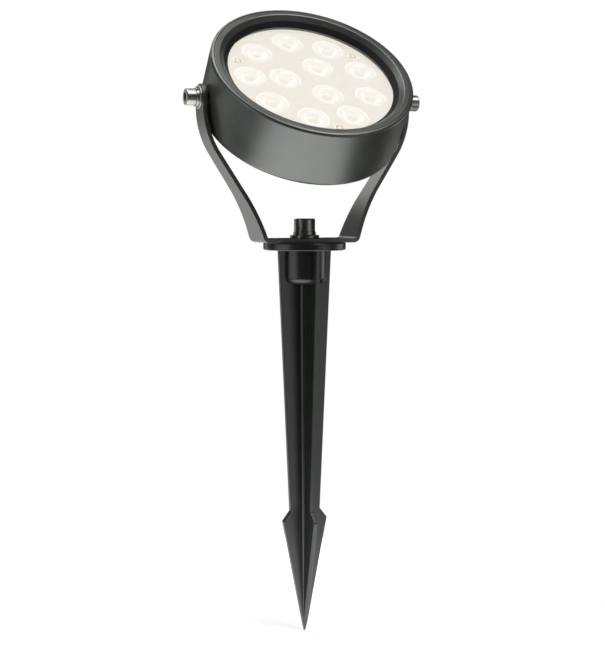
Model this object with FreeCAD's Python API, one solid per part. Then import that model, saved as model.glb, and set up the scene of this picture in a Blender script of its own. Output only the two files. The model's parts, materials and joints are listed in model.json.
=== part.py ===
import FreeCAD, Part

import math
import os

# Garden spike spotlight: a round LED head that tilts in a bent bracket, which turns on a ground spike.
# Millimetres, +Z up. The origin is on the spike's axis, at the underside of its flange, which lies on the
# ground. The tilt axis lies along X, above the origin, and the head faces -Y and up.

# ---------------------------------------------------------------- driving dimensions

# ground spike
SPIKE_LENGTH = 240.0  # underside of the flange to the point
FLANGE_RADIUS = 25.4
FLANGE_THICKNESS = 4.6
FLANGE_ROUND = 0.8
BOSS_RADIUS = 13.2
BOSS_LENGTH = 20.0
BOSS_TAPER_LENGTH = 2.0
BOSS_ROUND = 3.4
FIN_TOP_RADIUS = 18.1
FIN_WAIST_RADIUS = 10.3
FIN_THICKNESS = 2.6
CORE_TOP_RADIUS = 4.0
CORE_TIP_RADIUS = 2.0
BARB_RADIUS = 15.3
BARB_LENGTH = 71.4  # widest point of the barb to the point
BARB_SHOULDER = 6.2  # rise from the widest point to the waist
POINT_RADIUS = 0.5
FIN_TURN = 6.8  # degrees that the fins are turned from the bracket

# screw in the top of the spike
BOLT_RADIUS = 4.0
BOLT_LENGTH = 25.0
BOLT_HEAD_RADIUS = 6.5
BOLT_HEAD_HEIGHT = 8.0
BOLT_SOCKET_WIDTH = 6.0
BASE_WASHER_RADIUS = 9.0
BASE_WASHER_THICKNESS = 2.0
BASE_SPRING_RADIUS = 7.0
BASE_SPRING_THICKNESS = 2.1
INSERT_WALL = 2.0
INSERT_END_GAP = 0.5  # from the end of the screw to the floor of its socket

# bracket
STRAP_THICKNESS = 2.5
FOOT_WIDTH = 28.0
ARM_WIDTH = 16.0
ARM_TAPER_HEIGHT = 34.5  # above the foot, where the arm has come down to its own width
FOOT_TAPER_ROUND = 12.0
ARM_TAPER_ROUND = 40.0
FOOT_BEND_RADIUS = 4.2  # outside of the bend
FOOT_SLOPE = 17.5  # degrees from upright, just above the bend
LOWER_ARC_RADIUS = 118.0
ARM_SLOPE = 32.8  # degrees from upright, half way up
ARM_FLAT_BELOW_PIVOT = 5.6
UPPER_ARC_INSET = 11.0  # how much smaller the upper arc is than the drum

# head, along the beam axis from the tilt axis: forward is positive
HEAD_DIAMETER = 125.0
RIM_FRONT = 23.0
DRUM_BACK = 16.0
BEAM_ELEVATION = 48.5  # degrees above level, as it stands
HEAD_SWEEP_GAP = 5.2  # room over the bolt when the head is turned right round
DRUM_WALL = 6.5
BACK_WALL = 4.0
RIM_ROUND = 1.8
BACK_ROUND = 3.5
SHELF_HEIGHT = 9.9  # above the inside of the back wall
SHELF_WIDTH = 15.0

# retaining ring, glass and gasket
RING_INSET = 2.3  # from the outside of the drum to the outside of the ring
RING_LAND = 3.5
RING_HEIGHT = 2.8
RING_SLOPE_WIDTH = 2.8
RING_OUTER_ROUND = 0.4
RING_INNER_ROUND = 0.5
LIP_THICKNESS = 3.0
LIP_SLOPE_WIDTH = 2.9
GLASS_THICKNESS = 4.0
GLASS_CHAMFER = 0.5
GASKET_WALL = 1.75
GASKET_BACK = 1.5

# lenses and board
OUTER_LENSES = 9
INNER_LENSES = 3
LENS_PHASE = 17.0  # degrees round the beam from +X
BOARD_GAP = 6.0  # board edge to the inside of the drum
LENS_EDGE_GAP = 2.3
LENS_RING_GAP = 1.9  # between the outer lenses and the inner ones
INNER_LENS_GAP = 7.4  # between two inner lenses
LENS_PLATE_GAP = 0.7  # front of the lens plate to the glass
LENS_PLATE_THICKNESS = 1.5
LENS_PLATE_OVERHANG = 2.5  # past the edge of the board
LENS_SKIRT = 1.2
LENS_FOOT_RADIUS = 4.0
LENS_FOOT_GAP = 0.6
LED_POCKET_RADIUS = 2.8
LED_POCKET_DEPTH = 3.0
LED_WIDTH = 3.5
LED_BASE_HEIGHT = 0.8
LED_DOME_RADIUS = 1.3
BOARD_THICKNESS = 1.6
PAD_THICKNESS = 0.5
PAD_INSET = 1.0
SPREADER_THICKNESS = 3.0
BOARD_SCREW_COUNT = 3
BOARD_SCREW_INSET = 5.0
BOARD_SCREW_LENGTH = 16.0
BOARD_HOLE_END_GAP = 1.0
SCREW_LEG_RADIUS = 4.2
SMALL_SCREW_RADIUS = 1.5
SMALL_HEAD_RADIUS = 2.75
SMALL_HEAD_HEIGHT = 3.0
SMALL_SOCKET_WIDTH = 2.5

# driver
DRIVER_WIDTH = 44.0
DRIVER_DEPTH = 24.0
DRIVER_OFFSET = 21.5  # up from the beam axis
DRIVER_THICKNESS = 1.6
STANDOFF_HEIGHT = 2.6
STANDOFF_RADIUS = 3.0
STANDOFF_INSET = 3.2
DRIVER_SCREW_LENGTH = 3.6
DRIVER_HEAD_RADIUS = 2.5
DRIVER_HEAD_HEIGHT = 1.6
DRIVER_SLOT_WIDTH = 0.7
DRIVER_HOLE_END_GAP = 0.4
CHOKE_RADIUS = 4.5
CHOKE_HOLE_RADIUS = 1.6
CHOKE_HEIGHT = 3.8
CAPACITOR_RADIUS = 2.0
CAPACITOR_LENGTH = 7.0
CAPACITOR_INSET = 3.0
CAPACITOR_SPACING = 5.5
CHIP_WIDTH = 6.0
CHIP_DEPTH = 4.0
CHIP_HEIGHT = 1.5
TERMINAL_WIDTH = 24.0
TERMINAL_DEPTH = 12.0
TERMINAL_HEIGHT = 6.5
TERMINAL_OFFSET = 19.0  # down from the beam axis
TERMINAL_HOLE_RADIUS = 1.4
TERMINAL_HOLE_DEPTH = 4.0
LEAD_RADIUS = 0.7
LEAD_SPACING = 5.0
LEAD_BEND = 2.5
LEAD_HOLE_RADIUS = 1.2

# cooling fins and cable gland on the back
COOLING_FIN_HEIGHT = 8.0
COOLING_FIN_THICKNESS = 2.4
COOLING_FIN_PITCH = 8.0
COOLING_FIN_MARGIN = 10.0  # from the outside of the drum
COOLING_FIN_SLANT = 5.0
COOLING_FIN_BOSS_GAP = 2.0
GLAND_BOSS_RADIUS = 12.5
GLAND_BOSS_HEIGHT = 3.0
GLAND_THREAD_RADIUS = 6.2
GLAND_BORE_RADIUS = 4.2
GLAND_WIDTH = 15.0  # across the flats
GLAND_HEX_HEIGHT = 5.0
GLAND_TAIL_LENGTH = 6.0
SEAL_RADIUS = 5.0
SEAL_LENGTH = 8.0
SEAL_INSET = 1.0
CABLE_RADIUS = 3.2
NUT_LENGTH = 12.5
NUT_HEX_LENGTH = 8.0
NUT_MOUTH_RADIUS = 3.8
NUT_NOSE_RADIUS = 5.6
NUT_END_GAP = 0.5
O_RING_THICKNESS = 1.2
O_RING_RADIUS = 7.4

# tilt screws
PIVOT_RADIUS = 3.0
PIVOT_LENGTH = 16.0
PIVOT_HEAD_RADIUS = 5.0
PIVOT_HEAD_HEIGHT = 6.0
PIVOT_SOCKET_WIDTH = 5.0
PIVOT_WASHER_RADIUS = 7.0
PIVOT_WASHER_THICKNESS = 1.2
PIVOT_SPRING_RADIUS = 5.6
PIVOT_SPRING_THICKNESS = 1.6
SPACER_RADIUS = 5.5
SPACER_THICKNESS = 2.1
SPOT_FACE_DEPTH = 0.5
PIVOT_BOSS_RADIUS = 7.0
PIVOT_BOSS_GAP = 1.2  # boss to the edge of the board
PIVOT_HOLE_FLOOR = 1.8

# clearances
RUNNING_FIT = 0.08  # screw in the bracket
THREAD_FIT = 0.05  # screw in its thread
PLAIN_FIT = 0.2  # fixed piece dropped in its seat, and a screw through a fixed piece
INSERT_FIT = 0.05
WASHER_FIT = 0.2
SPLIT_WIDTH = 1.0  # cut in a spring washer
SPLIT_SLANT = 25.0  # degrees
BASE_SPLIT_TURN = -60.0  # degrees, where the cut of the base washer is
SOCKET_SHARE = 0.55  # depth of a socket to the height of the head
HEAD_CHAMFER = 0.5
CUT_PAST = 1.0  # how far a cutting shape runs past the face it opens
JOIN_OVERLAP = 0.5  # how far a joined shape runs into the one it stands on

# ---------------------------------------------------------------- worked out from them

HEAD_RADIUS = HEAD_DIAMETER / 2
FOOT_TOP = FLANGE_THICKNESS + STRAP_THICKNESS
BASE_SPRING_BOTTOM = FOOT_TOP + BASE_WASHER_THICKNESS
BOLT_HEAD_BOTTOM = BASE_SPRING_BOTTOM + BASE_SPRING_THICKNESS
BOLT_TOP = BOLT_HEAD_BOTTOM + BOLT_HEAD_HEIGHT
INSERT_BOTTOM = BOLT_HEAD_BOTTOM - BOLT_LENGTH - INSERT_END_GAP
PIVOT_HEIGHT = BOLT_TOP + HEAD_SWEEP_GAP + math.hypot(HEAD_RADIUS, RIM_FRONT)

CAVITY_RADIUS = HEAD_RADIUS - DRUM_WALL
BACK_INSIDE = BACK_WALL - DRUM_BACK
SHELF_TOP = BACK_INSIDE + SHELF_HEIGHT
SHELF_RADIUS = CAVITY_RADIUS - SHELF_WIDTH

RING_RADIUS = HEAD_RADIUS - RING_INSET
RING_SEAT_RADIUS = RING_RADIUS + PLAIN_FIT
RING_BACK = RIM_FRONT - RING_HEIGHT
RING_FRONT_OPENING = RING_RADIUS - RING_LAND
RING_BACK_OPENING = RING_FRONT_OPENING - RING_SLOPE_WIDTH
GLASS_FRONT = RING_BACK - LIP_THICKNESS
GLASS_BACK = GLASS_FRONT - GLASS_THICKNESS
GLASS_POCKET_RADIUS = RING_RADIUS - GASKET_WALL
GLASS_VIEW_RADIUS = RING_BACK_OPENING - LIP_SLOPE_WIDTH
LEDGE = GLASS_BACK - GASKET_BACK

BOARD_RADIUS = CAVITY_RADIUS - BOARD_GAP
SPREADER_FRONT = SHELF_TOP + SPREADER_THICKNESS
BOARD_BACK = SPREADER_FRONT + PAD_THICKNESS
BOARD_FRONT = BOARD_BACK + BOARD_THICKNESS
LENS_PLATE_FRONT = GLASS_BACK - LENS_PLATE_GAP
LENS_PLATE_BACK = LENS_PLATE_FRONT - LENS_PLATE_THICKNESS
ROOT_THREE = math.sqrt(3)
# three inner lenses at their gap, the outer ones round them, and the edge of the plate
LENS_ROOM = BOARD_RADIUS - LENS_EDGE_GAP - LENS_RING_GAP
LENS_RADIUS = (ROOT_THREE * LENS_ROOM - INNER_LENS_GAP) / (2 + 3 * ROOT_THREE)
OUTER_LENS_RING = BOARD_RADIUS - LENS_EDGE_GAP - LENS_RADIUS
INNER_LENS_RING = OUTER_LENS_RING - 2 * LENS_RADIUS - LENS_RING_GAP
BOARD_SCREW_RING = BOARD_RADIUS - BOARD_SCREW_INSET
BOARD_SCREW_PHASE = LENS_PHASE + 180 / OUTER_LENSES

DRIVER_BACK = BACK_INSIDE + STANDOFF_HEIGHT
DRIVER_FRONT = DRIVER_BACK + DRIVER_THICKNESS
GLAND_FACE = -DRUM_BACK - GLAND_BOSS_HEIGHT
GLAND_HEX_FRONT = GLAND_FACE - O_RING_THICKNESS
GLAND_HEX_BACK = GLAND_HEX_FRONT - GLAND_HEX_HEIGHT
GLAND_TAIL_END = GLAND_HEX_BACK - GLAND_TAIL_LENGTH
NUT_FRONT = GLAND_HEX_BACK - PLAIN_FIT
NUT_BACK = NUT_FRONT - NUT_LENGTH
SEAL_FRONT = GLAND_HEX_BACK - SEAL_INSET
SEAL_BACK = SEAL_FRONT - SEAL_LENGTH

SPOT_FACE = HEAD_RADIUS - SPOT_FACE_DEPTH
ARM_INSIDE = SPOT_FACE + SPACER_THICKNESS
ARM_OUTSIDE = ARM_INSIDE + STRAP_THICKNESS
PIVOT_SPRING_INSIDE = ARM_OUTSIDE + PIVOT_WASHER_THICKNESS
PIVOT_HEAD_INSIDE = PIVOT_SPRING_INSIDE + PIVOT_SPRING_THICKNESS
PIVOT_BOSS_FACE = BOARD_RADIUS + PIVOT_BOSS_GAP
UP = FreeCAD.Vector(0, 0, 1)
CENTRE = FreeCAD.Vector(0, 0, 0)


# ---------------------------------------------------------------- shapes

def point(x, y, z):
    return FreeCAD.Vector(x, y, z)


def cylinder(radius, low, high, x=0.0, y=0.0):
    return Part.makeCylinder(radius, high - low, point(x, y, low))


def ring(outside, inside, low, high):
    return cylinder(outside, low, high).cut(cylinder(inside, low - CUT_PAST, high + CUT_PAST))


def block(width, depth, low, high, x=0.0, y=0.0):
    return Part.makeBox(width, depth, high - low, point(x - width / 2, y - depth / 2, low))


def hexagon(width, low, high):
    corner = width / math.sqrt(3)
    points = [
        point(corner * math.cos(math.radians(60 * k)), corner * math.sin(math.radians(60 * k)), low)
        for k in range(7)
    ]
    return Part.Face(Part.makePolygon(points)).extrude(point(0, 0, high - low))


def rounded_wire(corners, rounds):
    """A closed wire through the corners. rounds gives the radius of a corner by its number."""
    count = len(corners)
    runs = []
    for k in range(count):
        here = corners[k]
        radius = rounds.get(k, 0)
        if radius == 0:
            runs.append((here, None, here))
            continue
        back = (corners[k - 1] - here).normalize()
        ahead = (corners[(k + 1) % count] - here).normalize()
        half = back.getAngle(ahead) / 2
        start = here + back * (radius / math.tan(half))
        end = here + ahead * (radius / math.tan(half))
        bisector = (back + ahead).normalize()
        middle = here + bisector * (radius / math.sin(half) - radius)
        runs.append((start, middle, end))
    edges = []
    for k in range(count):
        start, middle, end = runs[k]
        if middle is not None:
            edges.append(Part.Arc(start, middle, end).toShape())
        following = runs[(k + 1) % count][0]
        if (following - end).Length > 1e-6:
            edges.append(Part.LineSegment(end, following).toShape())
    return Part.Wire(edges)


def turned(profile, rounds=None):
    """A solid of revolution about Z, from (radius, height) corners."""
    corners = [point(radius, 0, height) for radius, height in profile]
    face = Part.Face(rounded_wire(corners, rounds or {}))
    return face.revolve(CENTRE, UP, 360)


def cap_screw(radius, length, head_radius, head_height, socket_width):
    """A socket cap screw that points down, with the underside of its head at height 0."""
    screw = turned(
        [
            (0, -length),
            (radius - HEAD_CHAMFER, -length),
            (radius, HEAD_CHAMFER - length),
            (radius, 0),
            (head_radius, 0),
            (head_radius, head_height),
            (0, head_height),
        ],
        {5: HEAD_CHAMFER},
    )
    depth = head_height * SOCKET_SHARE
    return screw.cut(hexagon(socket_width, head_height - depth, head_height + CUT_PAST))


def spring_washer(outside, inside, thickness):
    """A split ring that lies on height 0, with a slanting cut through one side."""
    washer = ring(outside, inside, 0, thickness)
    cut = block(2 * outside, SPLIT_WIDTH, -thickness, 2 * thickness, outside, 0)
    cut.rotate(point(0, 0, thickness / 2), point(1, 0, 0), SPLIT_SLANT)
    return washer.cut(cut)


def at_angle(radius, degrees):
    return radius * math.cos(math.radians(degrees)), radius * math.sin(math.radians(degrees))


def round_the_beam(count, radius, phase):
    """Places on a circle about the beam axis."""
    return [at_angle(radius, phase + 360 / count * k) for k in range(count)]


def on_head(shape):
    """From the beam's own frame, with the beam along +Z, to where the head stands."""
    placed = shape.copy()
    placed.rotate(CENTRE, point(1, 0, 0), 90 - BEAM_ELEVATION)
    placed.translate(point(0, 0, PIVOT_HEIGHT))
    return placed


def along_pivot(shape, distance, side):
    """From a shape that stands on height 0 to one that stands out from the head, to one side."""
    placed = shape.copy()
    placed.rotate(CENTRE, point(0, 1, 0), 90 * side)
    placed.translate(point(distance * side, 0, 0))
    return placed


def lead(points):
    """A thin insulated wire along straight runs with rounded corners."""
    corners = [point(*p) for p in points]
    edges = []
    start = corners[0]
    for before, corner, after in zip(corners, corners[1:], corners[2:]):
        back = (before - corner).normalize()
        ahead = (after - corner).normalize()
        half = back.getAngle(ahead) / 2
        reach = LEAD_BEND / math.tan(half)
        middle = corner + (back + ahead).normalize() * (LEAD_BEND / math.sin(half) - LEAD_BEND)
        edges.append(Part.LineSegment(start, corner + back * reach).toShape())
        edges.append(Part.Arc(corner + back * reach, middle, corner + ahead * reach).toShape())
        start = corner + ahead * reach
    edges.append(Part.LineSegment(start, corners[-1]).toShape())
    path = Part.Wire(edges)
    circle = Part.Wire(Part.makeCircle(LEAD_RADIUS, corners[0], corners[1] - corners[0]))
    return path.makePipeShell([circle], True, False)


# ---------------------------------------------------------------- spike and its bolt

def spike():
    waist = SPIKE_LENGTH - BARB_LENGTH - BARB_SHOULDER
    barb = SPIKE_LENGTH - BARB_LENGTH
    outline = [
        (0, 0),
        (FIN_TOP_RADIUS, 0),
        (FIN_WAIST_RADIUS, -waist),
        (BARB_RADIUS, -barb),
        (POINT_RADIUS, -SPIKE_LENGTH),
        (0, -SPIKE_LENGTH),
    ]
    envelope = turned(outline)
    reach = 2 * max(FIN_TOP_RADIUS, BARB_RADIUS)
    fins = block(reach, FIN_THICKNESS, -SPIKE_LENGTH, 0).fuse(block(FIN_THICKNESS, reach, -SPIKE_LENGTH, 0))
    core = turned([(0, 0), (CORE_TOP_RADIUS, 0), (CORE_TIP_RADIUS, -SPIKE_LENGTH), (0, -SPIKE_LENGTH)])
    body = fins.fuse(core).common(envelope)
    boss = turned(
        [
            (0, 0),
            (BOSS_RADIUS, 0),
            (BOSS_RADIUS, -BOSS_LENGTH),
            (CORE_TOP_RADIUS, -BOSS_LENGTH - BOSS_TAPER_LENGTH),
            (0, -BOSS_LENGTH - BOSS_TAPER_LENGTH),
        ],
        {2: BOSS_ROUND},
    )
    flange = turned(
        [(0, 0), (FLANGE_RADIUS, 0), (FLANGE_RADIUS, FLANGE_THICKNESS), (0, FLANGE_THICKNESS)],
        {1: FLANGE_ROUND, 2: FLANGE_ROUND},
    )
    body.rotate(CENTRE, UP, FIN_TURN)
    socket_radius = BOLT_RADIUS + INSERT_WALL + INSERT_FIT
    socket = cylinder(socket_radius, INSERT_BOTTOM, FLANGE_THICKNESS + CUT_PAST)
    return body.fuse([boss, flange]).cut(socket).removeSplitter()


def spike_insert():
    return ring(
        BOLT_RADIUS + INSERT_WALL,
        BOLT_RADIUS + THREAD_FIT,
        INSERT_BOTTOM,
        FLANGE_THICKNESS - PLAIN_FIT,
    )


def base_flat_washer():
    return ring(BASE_WASHER_RADIUS, BOLT_RADIUS + WASHER_FIT, FOOT_TOP, BASE_SPRING_BOTTOM)


def base_spring_washer():
    washer = spring_washer(BASE_SPRING_RADIUS, BOLT_RADIUS + WASHER_FIT, BASE_SPRING_THICKNESS)
    washer.rotate(CENTRE, UP, BASE_SPLIT_TURN)
    washer.translate(point(0, 0, BASE_SPRING_BOTTOM))
    return washer


def base_bolt():
    bolt = cap_screw(BOLT_RADIUS, BOLT_LENGTH, BOLT_HEAD_RADIUS, BOLT_HEAD_HEIGHT, BOLT_SOCKET_WIDTH)
    bolt.translate(point(0, 0, BOLT_HEAD_BOTTOM))
    return bolt


# ---------------------------------------------------------------- bracket

def arm_side(inset):
    """Edges of one arm, from its top end down to the middle of the foot, inset from its outside."""
    slope = math.radians(ARM_SLOPE)
    foot_slope = math.radians(FOOT_SLOPE)
    upper_radius = HEAD_RADIUS - UPPER_ARC_INSET
    top = PIVOT_HEIGHT + ARM_WIDTH / 2
    flat_end = PIVOT_HEIGHT - ARM_FLAT_BELOW_PIVOT
    bend_centre_height = FLANGE_THICKNESS + FOOT_BEND_RADIUS
    bend_start_height = bend_centre_height - FOOT_BEND_RADIUS * math.sin(foot_slope)
    lower_arc_rise = LOWER_ARC_RADIUS * (math.sin(slope) - math.sin(foot_slope))
    straight_rise = flat_end - upper_radius * math.sin(slope) - lower_arc_rise - bend_start_height
    straight = straight_rise / math.cos(slope)

    def outward(angle):
        return point(math.cos(angle), 0, -math.sin(angle))

    def arc(centre, radius, first, last):
        middle = (first + last) / 2
        ends = [centre + outward(angle) * radius for angle in (first, middle, last)]
        return Part.Arc(*ends).toShape()

    upper_centre = point(ARM_OUTSIDE - upper_radius, 0, flat_end)
    upper_end = upper_centre + outward(slope) * upper_radius
    straight_end = upper_end + point(-math.sin(slope), 0, -math.cos(slope)) * straight
    lower_centre = straight_end + outward(slope) * LOWER_ARC_RADIUS
    lower_end = lower_centre - outward(foot_slope) * LOWER_ARC_RADIUS
    bend_centre = lower_end - outward(foot_slope) * FOOT_BEND_RADIUS
    line_start = upper_centre + outward(slope) * (upper_radius - inset)
    line_end = straight_end - outward(slope) * inset
    edges = [
        Part.LineSegment(
            point(ARM_OUTSIDE - inset, 0, top), point(ARM_OUTSIDE - inset, 0, flat_end)
        ).toShape(),
        arc(upper_centre, upper_radius - inset, 0, slope),
        Part.LineSegment(line_start, line_end).toShape(),
        arc(lower_centre, -LOWER_ARC_RADIUS - inset, slope, foot_slope),
        arc(bend_centre, FOOT_BEND_RADIUS - inset, foot_slope, math.pi / 2),
    ]
    foot_height = bend_centre_height - (FOOT_BEND_RADIUS - inset)
    edges.append(
        Part.LineSegment(point(bend_centre.x, 0, foot_height), point(0, 0, foot_height)).toShape()
    )
    return edges


def yoke_bracket():
    top = PIVOT_HEIGHT + ARM_WIDTH / 2
    outer = arm_side(0)
    inner = arm_side(STRAP_THICKNESS)
    closing = [
        Part.LineSegment(point(0, 0, FLANGE_THICKNESS), point(0, 0, FOOT_TOP)).toShape(),
        Part.LineSegment(point(ARM_OUTSIDE, 0, top), point(ARM_INSIDE, 0, top)).toShape(),
    ]
    half_face = Part.Face(Part.Wire(Part.__sortEdges__(outer + inner + closing)))
    half = half_face.extrude(point(0, FOOT_WIDTH, 0))
    half.translate(point(0, -FOOT_WIDTH / 2, 0))
    strap = half.fuse(half.mirror(CENTRE, point(1, 0, 0))).removeSplitter()

    foot_half = FOOT_WIDTH / 2
    arm_half = ARM_WIDTH / 2
    taper_start = FLANGE_THICKNESS + FOOT_BEND_RADIUS
    taper_end = FOOT_TOP + ARM_TAPER_HEIGHT
    front = [
        point(0, -foot_half, 0),
        point(0, foot_half, 0),
        point(0, foot_half, taper_start),
        point(0, arm_half, taper_end),
        point(0, arm_half, top),
        point(0, -arm_half, top),
        point(0, -arm_half, taper_end),
        point(0, -foot_half, taper_start),
    ]
    rounds = {
        2: FOOT_TAPER_ROUND,
        3: ARM_TAPER_ROUND,
        4: arm_half,
        5: arm_half,
        6: ARM_TAPER_ROUND,
        7: FOOT_TAPER_ROUND,
    }
    blank = Part.Face(rounded_wire(front, rounds)).extrude(point(4 * HEAD_RADIUS, 0, 0))
    blank.translate(point(-2 * HEAD_RADIUS, 0, 0))
    bracket = strap.common(blank)
    hole_start = point(-2 * HEAD_RADIUS, 0, PIVOT_HEIGHT)
    pivot_hole = Part.makeCylinder(PIVOT_RADIUS + RUNNING_FIT, 4 * HEAD_RADIUS, hole_start, point(1, 0, 0))
    bolt_hole = cylinder(BOLT_RADIUS + RUNNING_FIT, 0, 2 * FOOT_TOP)
    return bracket.cut([pivot_hole, bolt_hole])


# ---------------------------------------------------------------- housing

def cooling_fins():
    edge = HEAD_RADIUS - COOLING_FIN_MARGIN
    back = -DRUM_BACK - COOLING_FIN_HEIGHT
    fins = []
    count = int(edge / COOLING_FIN_PITCH)
    for k in range(-count, count + 1):
        fins.append(
            block(COOLING_FIN_THICKNESS, 2 * edge, back, JOIN_OVERLAP - DRUM_BACK, COOLING_FIN_PITCH * k, 0)
        )
    field = turned(
        [(0, back), (edge - COOLING_FIN_SLANT, back), (edge, -DRUM_BACK), (edge, 0), (0, 0)]
    )
    room = cylinder(GLAND_BOSS_RADIUS + COOLING_FIN_BOSS_GAP, back - CUT_PAST, 0)
    return [fin.common(field).cut(room) for fin in fins]


def lamp_housing():
    drum = turned(
        [
            (0, -DRUM_BACK),
            (HEAD_RADIUS, -DRUM_BACK),
            (HEAD_RADIUS, RIM_FRONT),
            (RING_SEAT_RADIUS, RIM_FRONT),
            (RING_SEAT_RADIUS, LEDGE),
            (CAVITY_RADIUS, LEDGE),
            (CAVITY_RADIUS, SHELF_TOP),
            (SHELF_RADIUS, SHELF_TOP),
            (SHELF_RADIUS, BACK_INSIDE),
            (0, BACK_INSIDE),
        ],
        {1: BACK_ROUND, 2: RIM_ROUND},
    )
    added = cooling_fins()
    added.append(cylinder(GLAND_BOSS_RADIUS, GLAND_FACE, JOIN_OVERLAP - DRUM_BACK))
    for x, y in driver_corners():
        added.append(cylinder(STANDOFF_RADIUS, BACK_INSIDE - JOIN_OVERLAP, DRIVER_BACK, x, y))
    for side in (-1, 1):
        boss = cylinder(PIVOT_BOSS_RADIUS, 0, CAVITY_RADIUS + JOIN_OVERLAP - PIVOT_BOSS_FACE)
        added.append(along_pivot(boss, PIVOT_BOSS_FACE, side))
    removed = [cylinder(GLAND_THREAD_RADIUS + THREAD_FIT, GLAND_FACE - CUT_PAST, BACK_INSIDE + CUT_PAST)]
    hole_end = PIVOT_BOSS_FACE + PIVOT_HOLE_FLOOR
    for side in (-1, 1):
        hole = cylinder(PIVOT_RADIUS + THREAD_FIT, 0, HEAD_RADIUS - hole_end + CUT_PAST)
        removed.append(along_pivot(hole, hole_end, side))
        spot_face = cylinder(SPACER_RADIUS + PLAIN_FIT, 0, SPACER_THICKNESS)
        removed.append(along_pivot(spot_face, SPOT_FACE, side))
    hole_floor = screw_seat() - BOARD_SCREW_LENGTH - BOARD_HOLE_END_GAP
    for x, y in round_the_beam(BOARD_SCREW_COUNT, BOARD_SCREW_RING, BOARD_SCREW_PHASE):
        removed.append(cylinder(SMALL_SCREW_RADIUS + THREAD_FIT, hole_floor, SHELF_TOP + CUT_PAST, x, y))
    hole_floor = DRIVER_FRONT - DRIVER_SCREW_LENGTH - DRIVER_HOLE_END_GAP
    for x, y in driver_corners():
        removed.append(cylinder(SMALL_SCREW_RADIUS + THREAD_FIT, hole_floor, DRIVER_BACK + CUT_PAST, x, y))
    return drum.fuse(added).cut(removed).removeSplitter()


# ---------------------------------------------------------------- glass and its ring

def retaining_ring():
    return turned(
        [
            (RING_RADIUS, RING_BACK),
            (RING_RADIUS, RIM_FRONT),
            (RING_FRONT_OPENING, RIM_FRONT),
            (RING_BACK_OPENING, RING_BACK),
        ],
        {1: RING_OUTER_ROUND, 2: RING_INNER_ROUND},
    )


def glass_gasket():
    return turned(
        [
            (RING_RADIUS, LEDGE),
            (RING_RADIUS, RING_BACK),
            (RING_BACK_OPENING, RING_BACK),
            (GLASS_VIEW_RADIUS, GLASS_FRONT),
            (GLASS_POCKET_RADIUS, GLASS_FRONT),
            (GLASS_POCKET_RADIUS, GLASS_BACK),
            (CAVITY_RADIUS, GLASS_BACK),
            (CAVITY_RADIUS, LEDGE),
        ]
    )


def glass_cover():
    radius = GLASS_POCKET_RADIUS - THREAD_FIT
    return turned(
        [
            (0, GLASS_BACK),
            (radius - GLASS_CHAMFER, GLASS_BACK),
            (radius, GLASS_BACK + GLASS_CHAMFER),
            (radius, GLASS_FRONT - GLASS_CHAMFER),
            (radius - GLASS_CHAMFER, GLASS_FRONT),
            (0, GLASS_FRONT),
        ]
    )


# ---------------------------------------------------------------- lenses, board and spreader

def lens_places():
    outer = round_the_beam(OUTER_LENSES, OUTER_LENS_RING, LENS_PHASE)
    return outer + round_the_beam(INNER_LENSES, INNER_LENS_RING, LENS_PHASE + 360 / OUTER_LENSES)


def screw_seat():
    """Where the heads of the board screws sit, sunk in the lens plate."""
    return LENS_PLATE_FRONT - SMALL_HEAD_HEIGHT


def lens_plate():
    plate = cylinder(BOARD_RADIUS + LENS_PLATE_OVERHANG, LENS_PLATE_BACK, LENS_PLATE_FRONT)
    skirt = ring(BOARD_RADIUS, BOARD_RADIUS - LENS_SKIRT, BOARD_FRONT, LENS_PLATE_BACK)
    foot = BOARD_FRONT + LENS_FOOT_GAP
    added = [skirt]
    removed = []
    for x, y in lens_places():
        cone = Part.makeCone(LENS_FOOT_RADIUS, LENS_RADIUS, LENS_PLATE_BACK - foot, point(x, y, foot))
        added.append(cone)
        removed.append(cylinder(LED_POCKET_RADIUS, foot - CUT_PAST, foot + LED_POCKET_DEPTH, x, y))
    for x, y in round_the_beam(BOARD_SCREW_COUNT, BOARD_SCREW_RING, BOARD_SCREW_PHASE):
        added.append(cylinder(SCREW_LEG_RADIUS, BOARD_FRONT, LENS_PLATE_BACK, x, y))
        hole_back = BOARD_FRONT - CUT_PAST
        removed.append(cylinder(SMALL_SCREW_RADIUS + PLAIN_FIT, hole_back, LENS_PLATE_FRONT, x, y))
        seat_top = LENS_PLATE_FRONT + CUT_PAST
        removed.append(cylinder(SMALL_HEAD_RADIUS + PLAIN_FIT, screw_seat(), seat_top, x, y))
    return plate.fuse(added).cut(removed)


def led_emitters():
    emitters = []
    for x, y in lens_places():
        top = BOARD_FRONT + LED_BASE_HEIGHT
        base = block(LED_WIDTH, LED_WIDTH, BOARD_FRONT, top, x, y)
        dome = Part.makeSphere(LED_DOME_RADIUS, point(x, y, top))
        above = block(LED_WIDTH, LED_WIDTH, BOARD_FRONT, top + 2 * LED_DOME_RADIUS, x, y)
        emitters.append(base.fuse(dome.common(above)))
    return Part.makeCompound(emitters)


def disc_with_holes(radius, low, high):
    removed = []
    for x, y in round_the_beam(BOARD_SCREW_COUNT, BOARD_SCREW_RING, BOARD_SCREW_PHASE):
        removed.append(cylinder(SMALL_SCREW_RADIUS + PLAIN_FIT, low - CUT_PAST, high + CUT_PAST, x, y))
    return cylinder(radius, low, high).cut(removed)


def lead_holes(low, high):
    return [
        cylinder(LEAD_HOLE_RADIUS, low - CUT_PAST, high + CUT_PAST, x, y)
        for x, y in board_lead_ends()
    ]


def led_board():
    return disc_with_holes(BOARD_RADIUS, BOARD_BACK, BOARD_FRONT)


def thermal_pad():
    pad = disc_with_holes(BOARD_RADIUS - PAD_INSET, SPREADER_FRONT, BOARD_BACK)
    return pad.cut(lead_holes(SPREADER_FRONT, BOARD_BACK))


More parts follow.
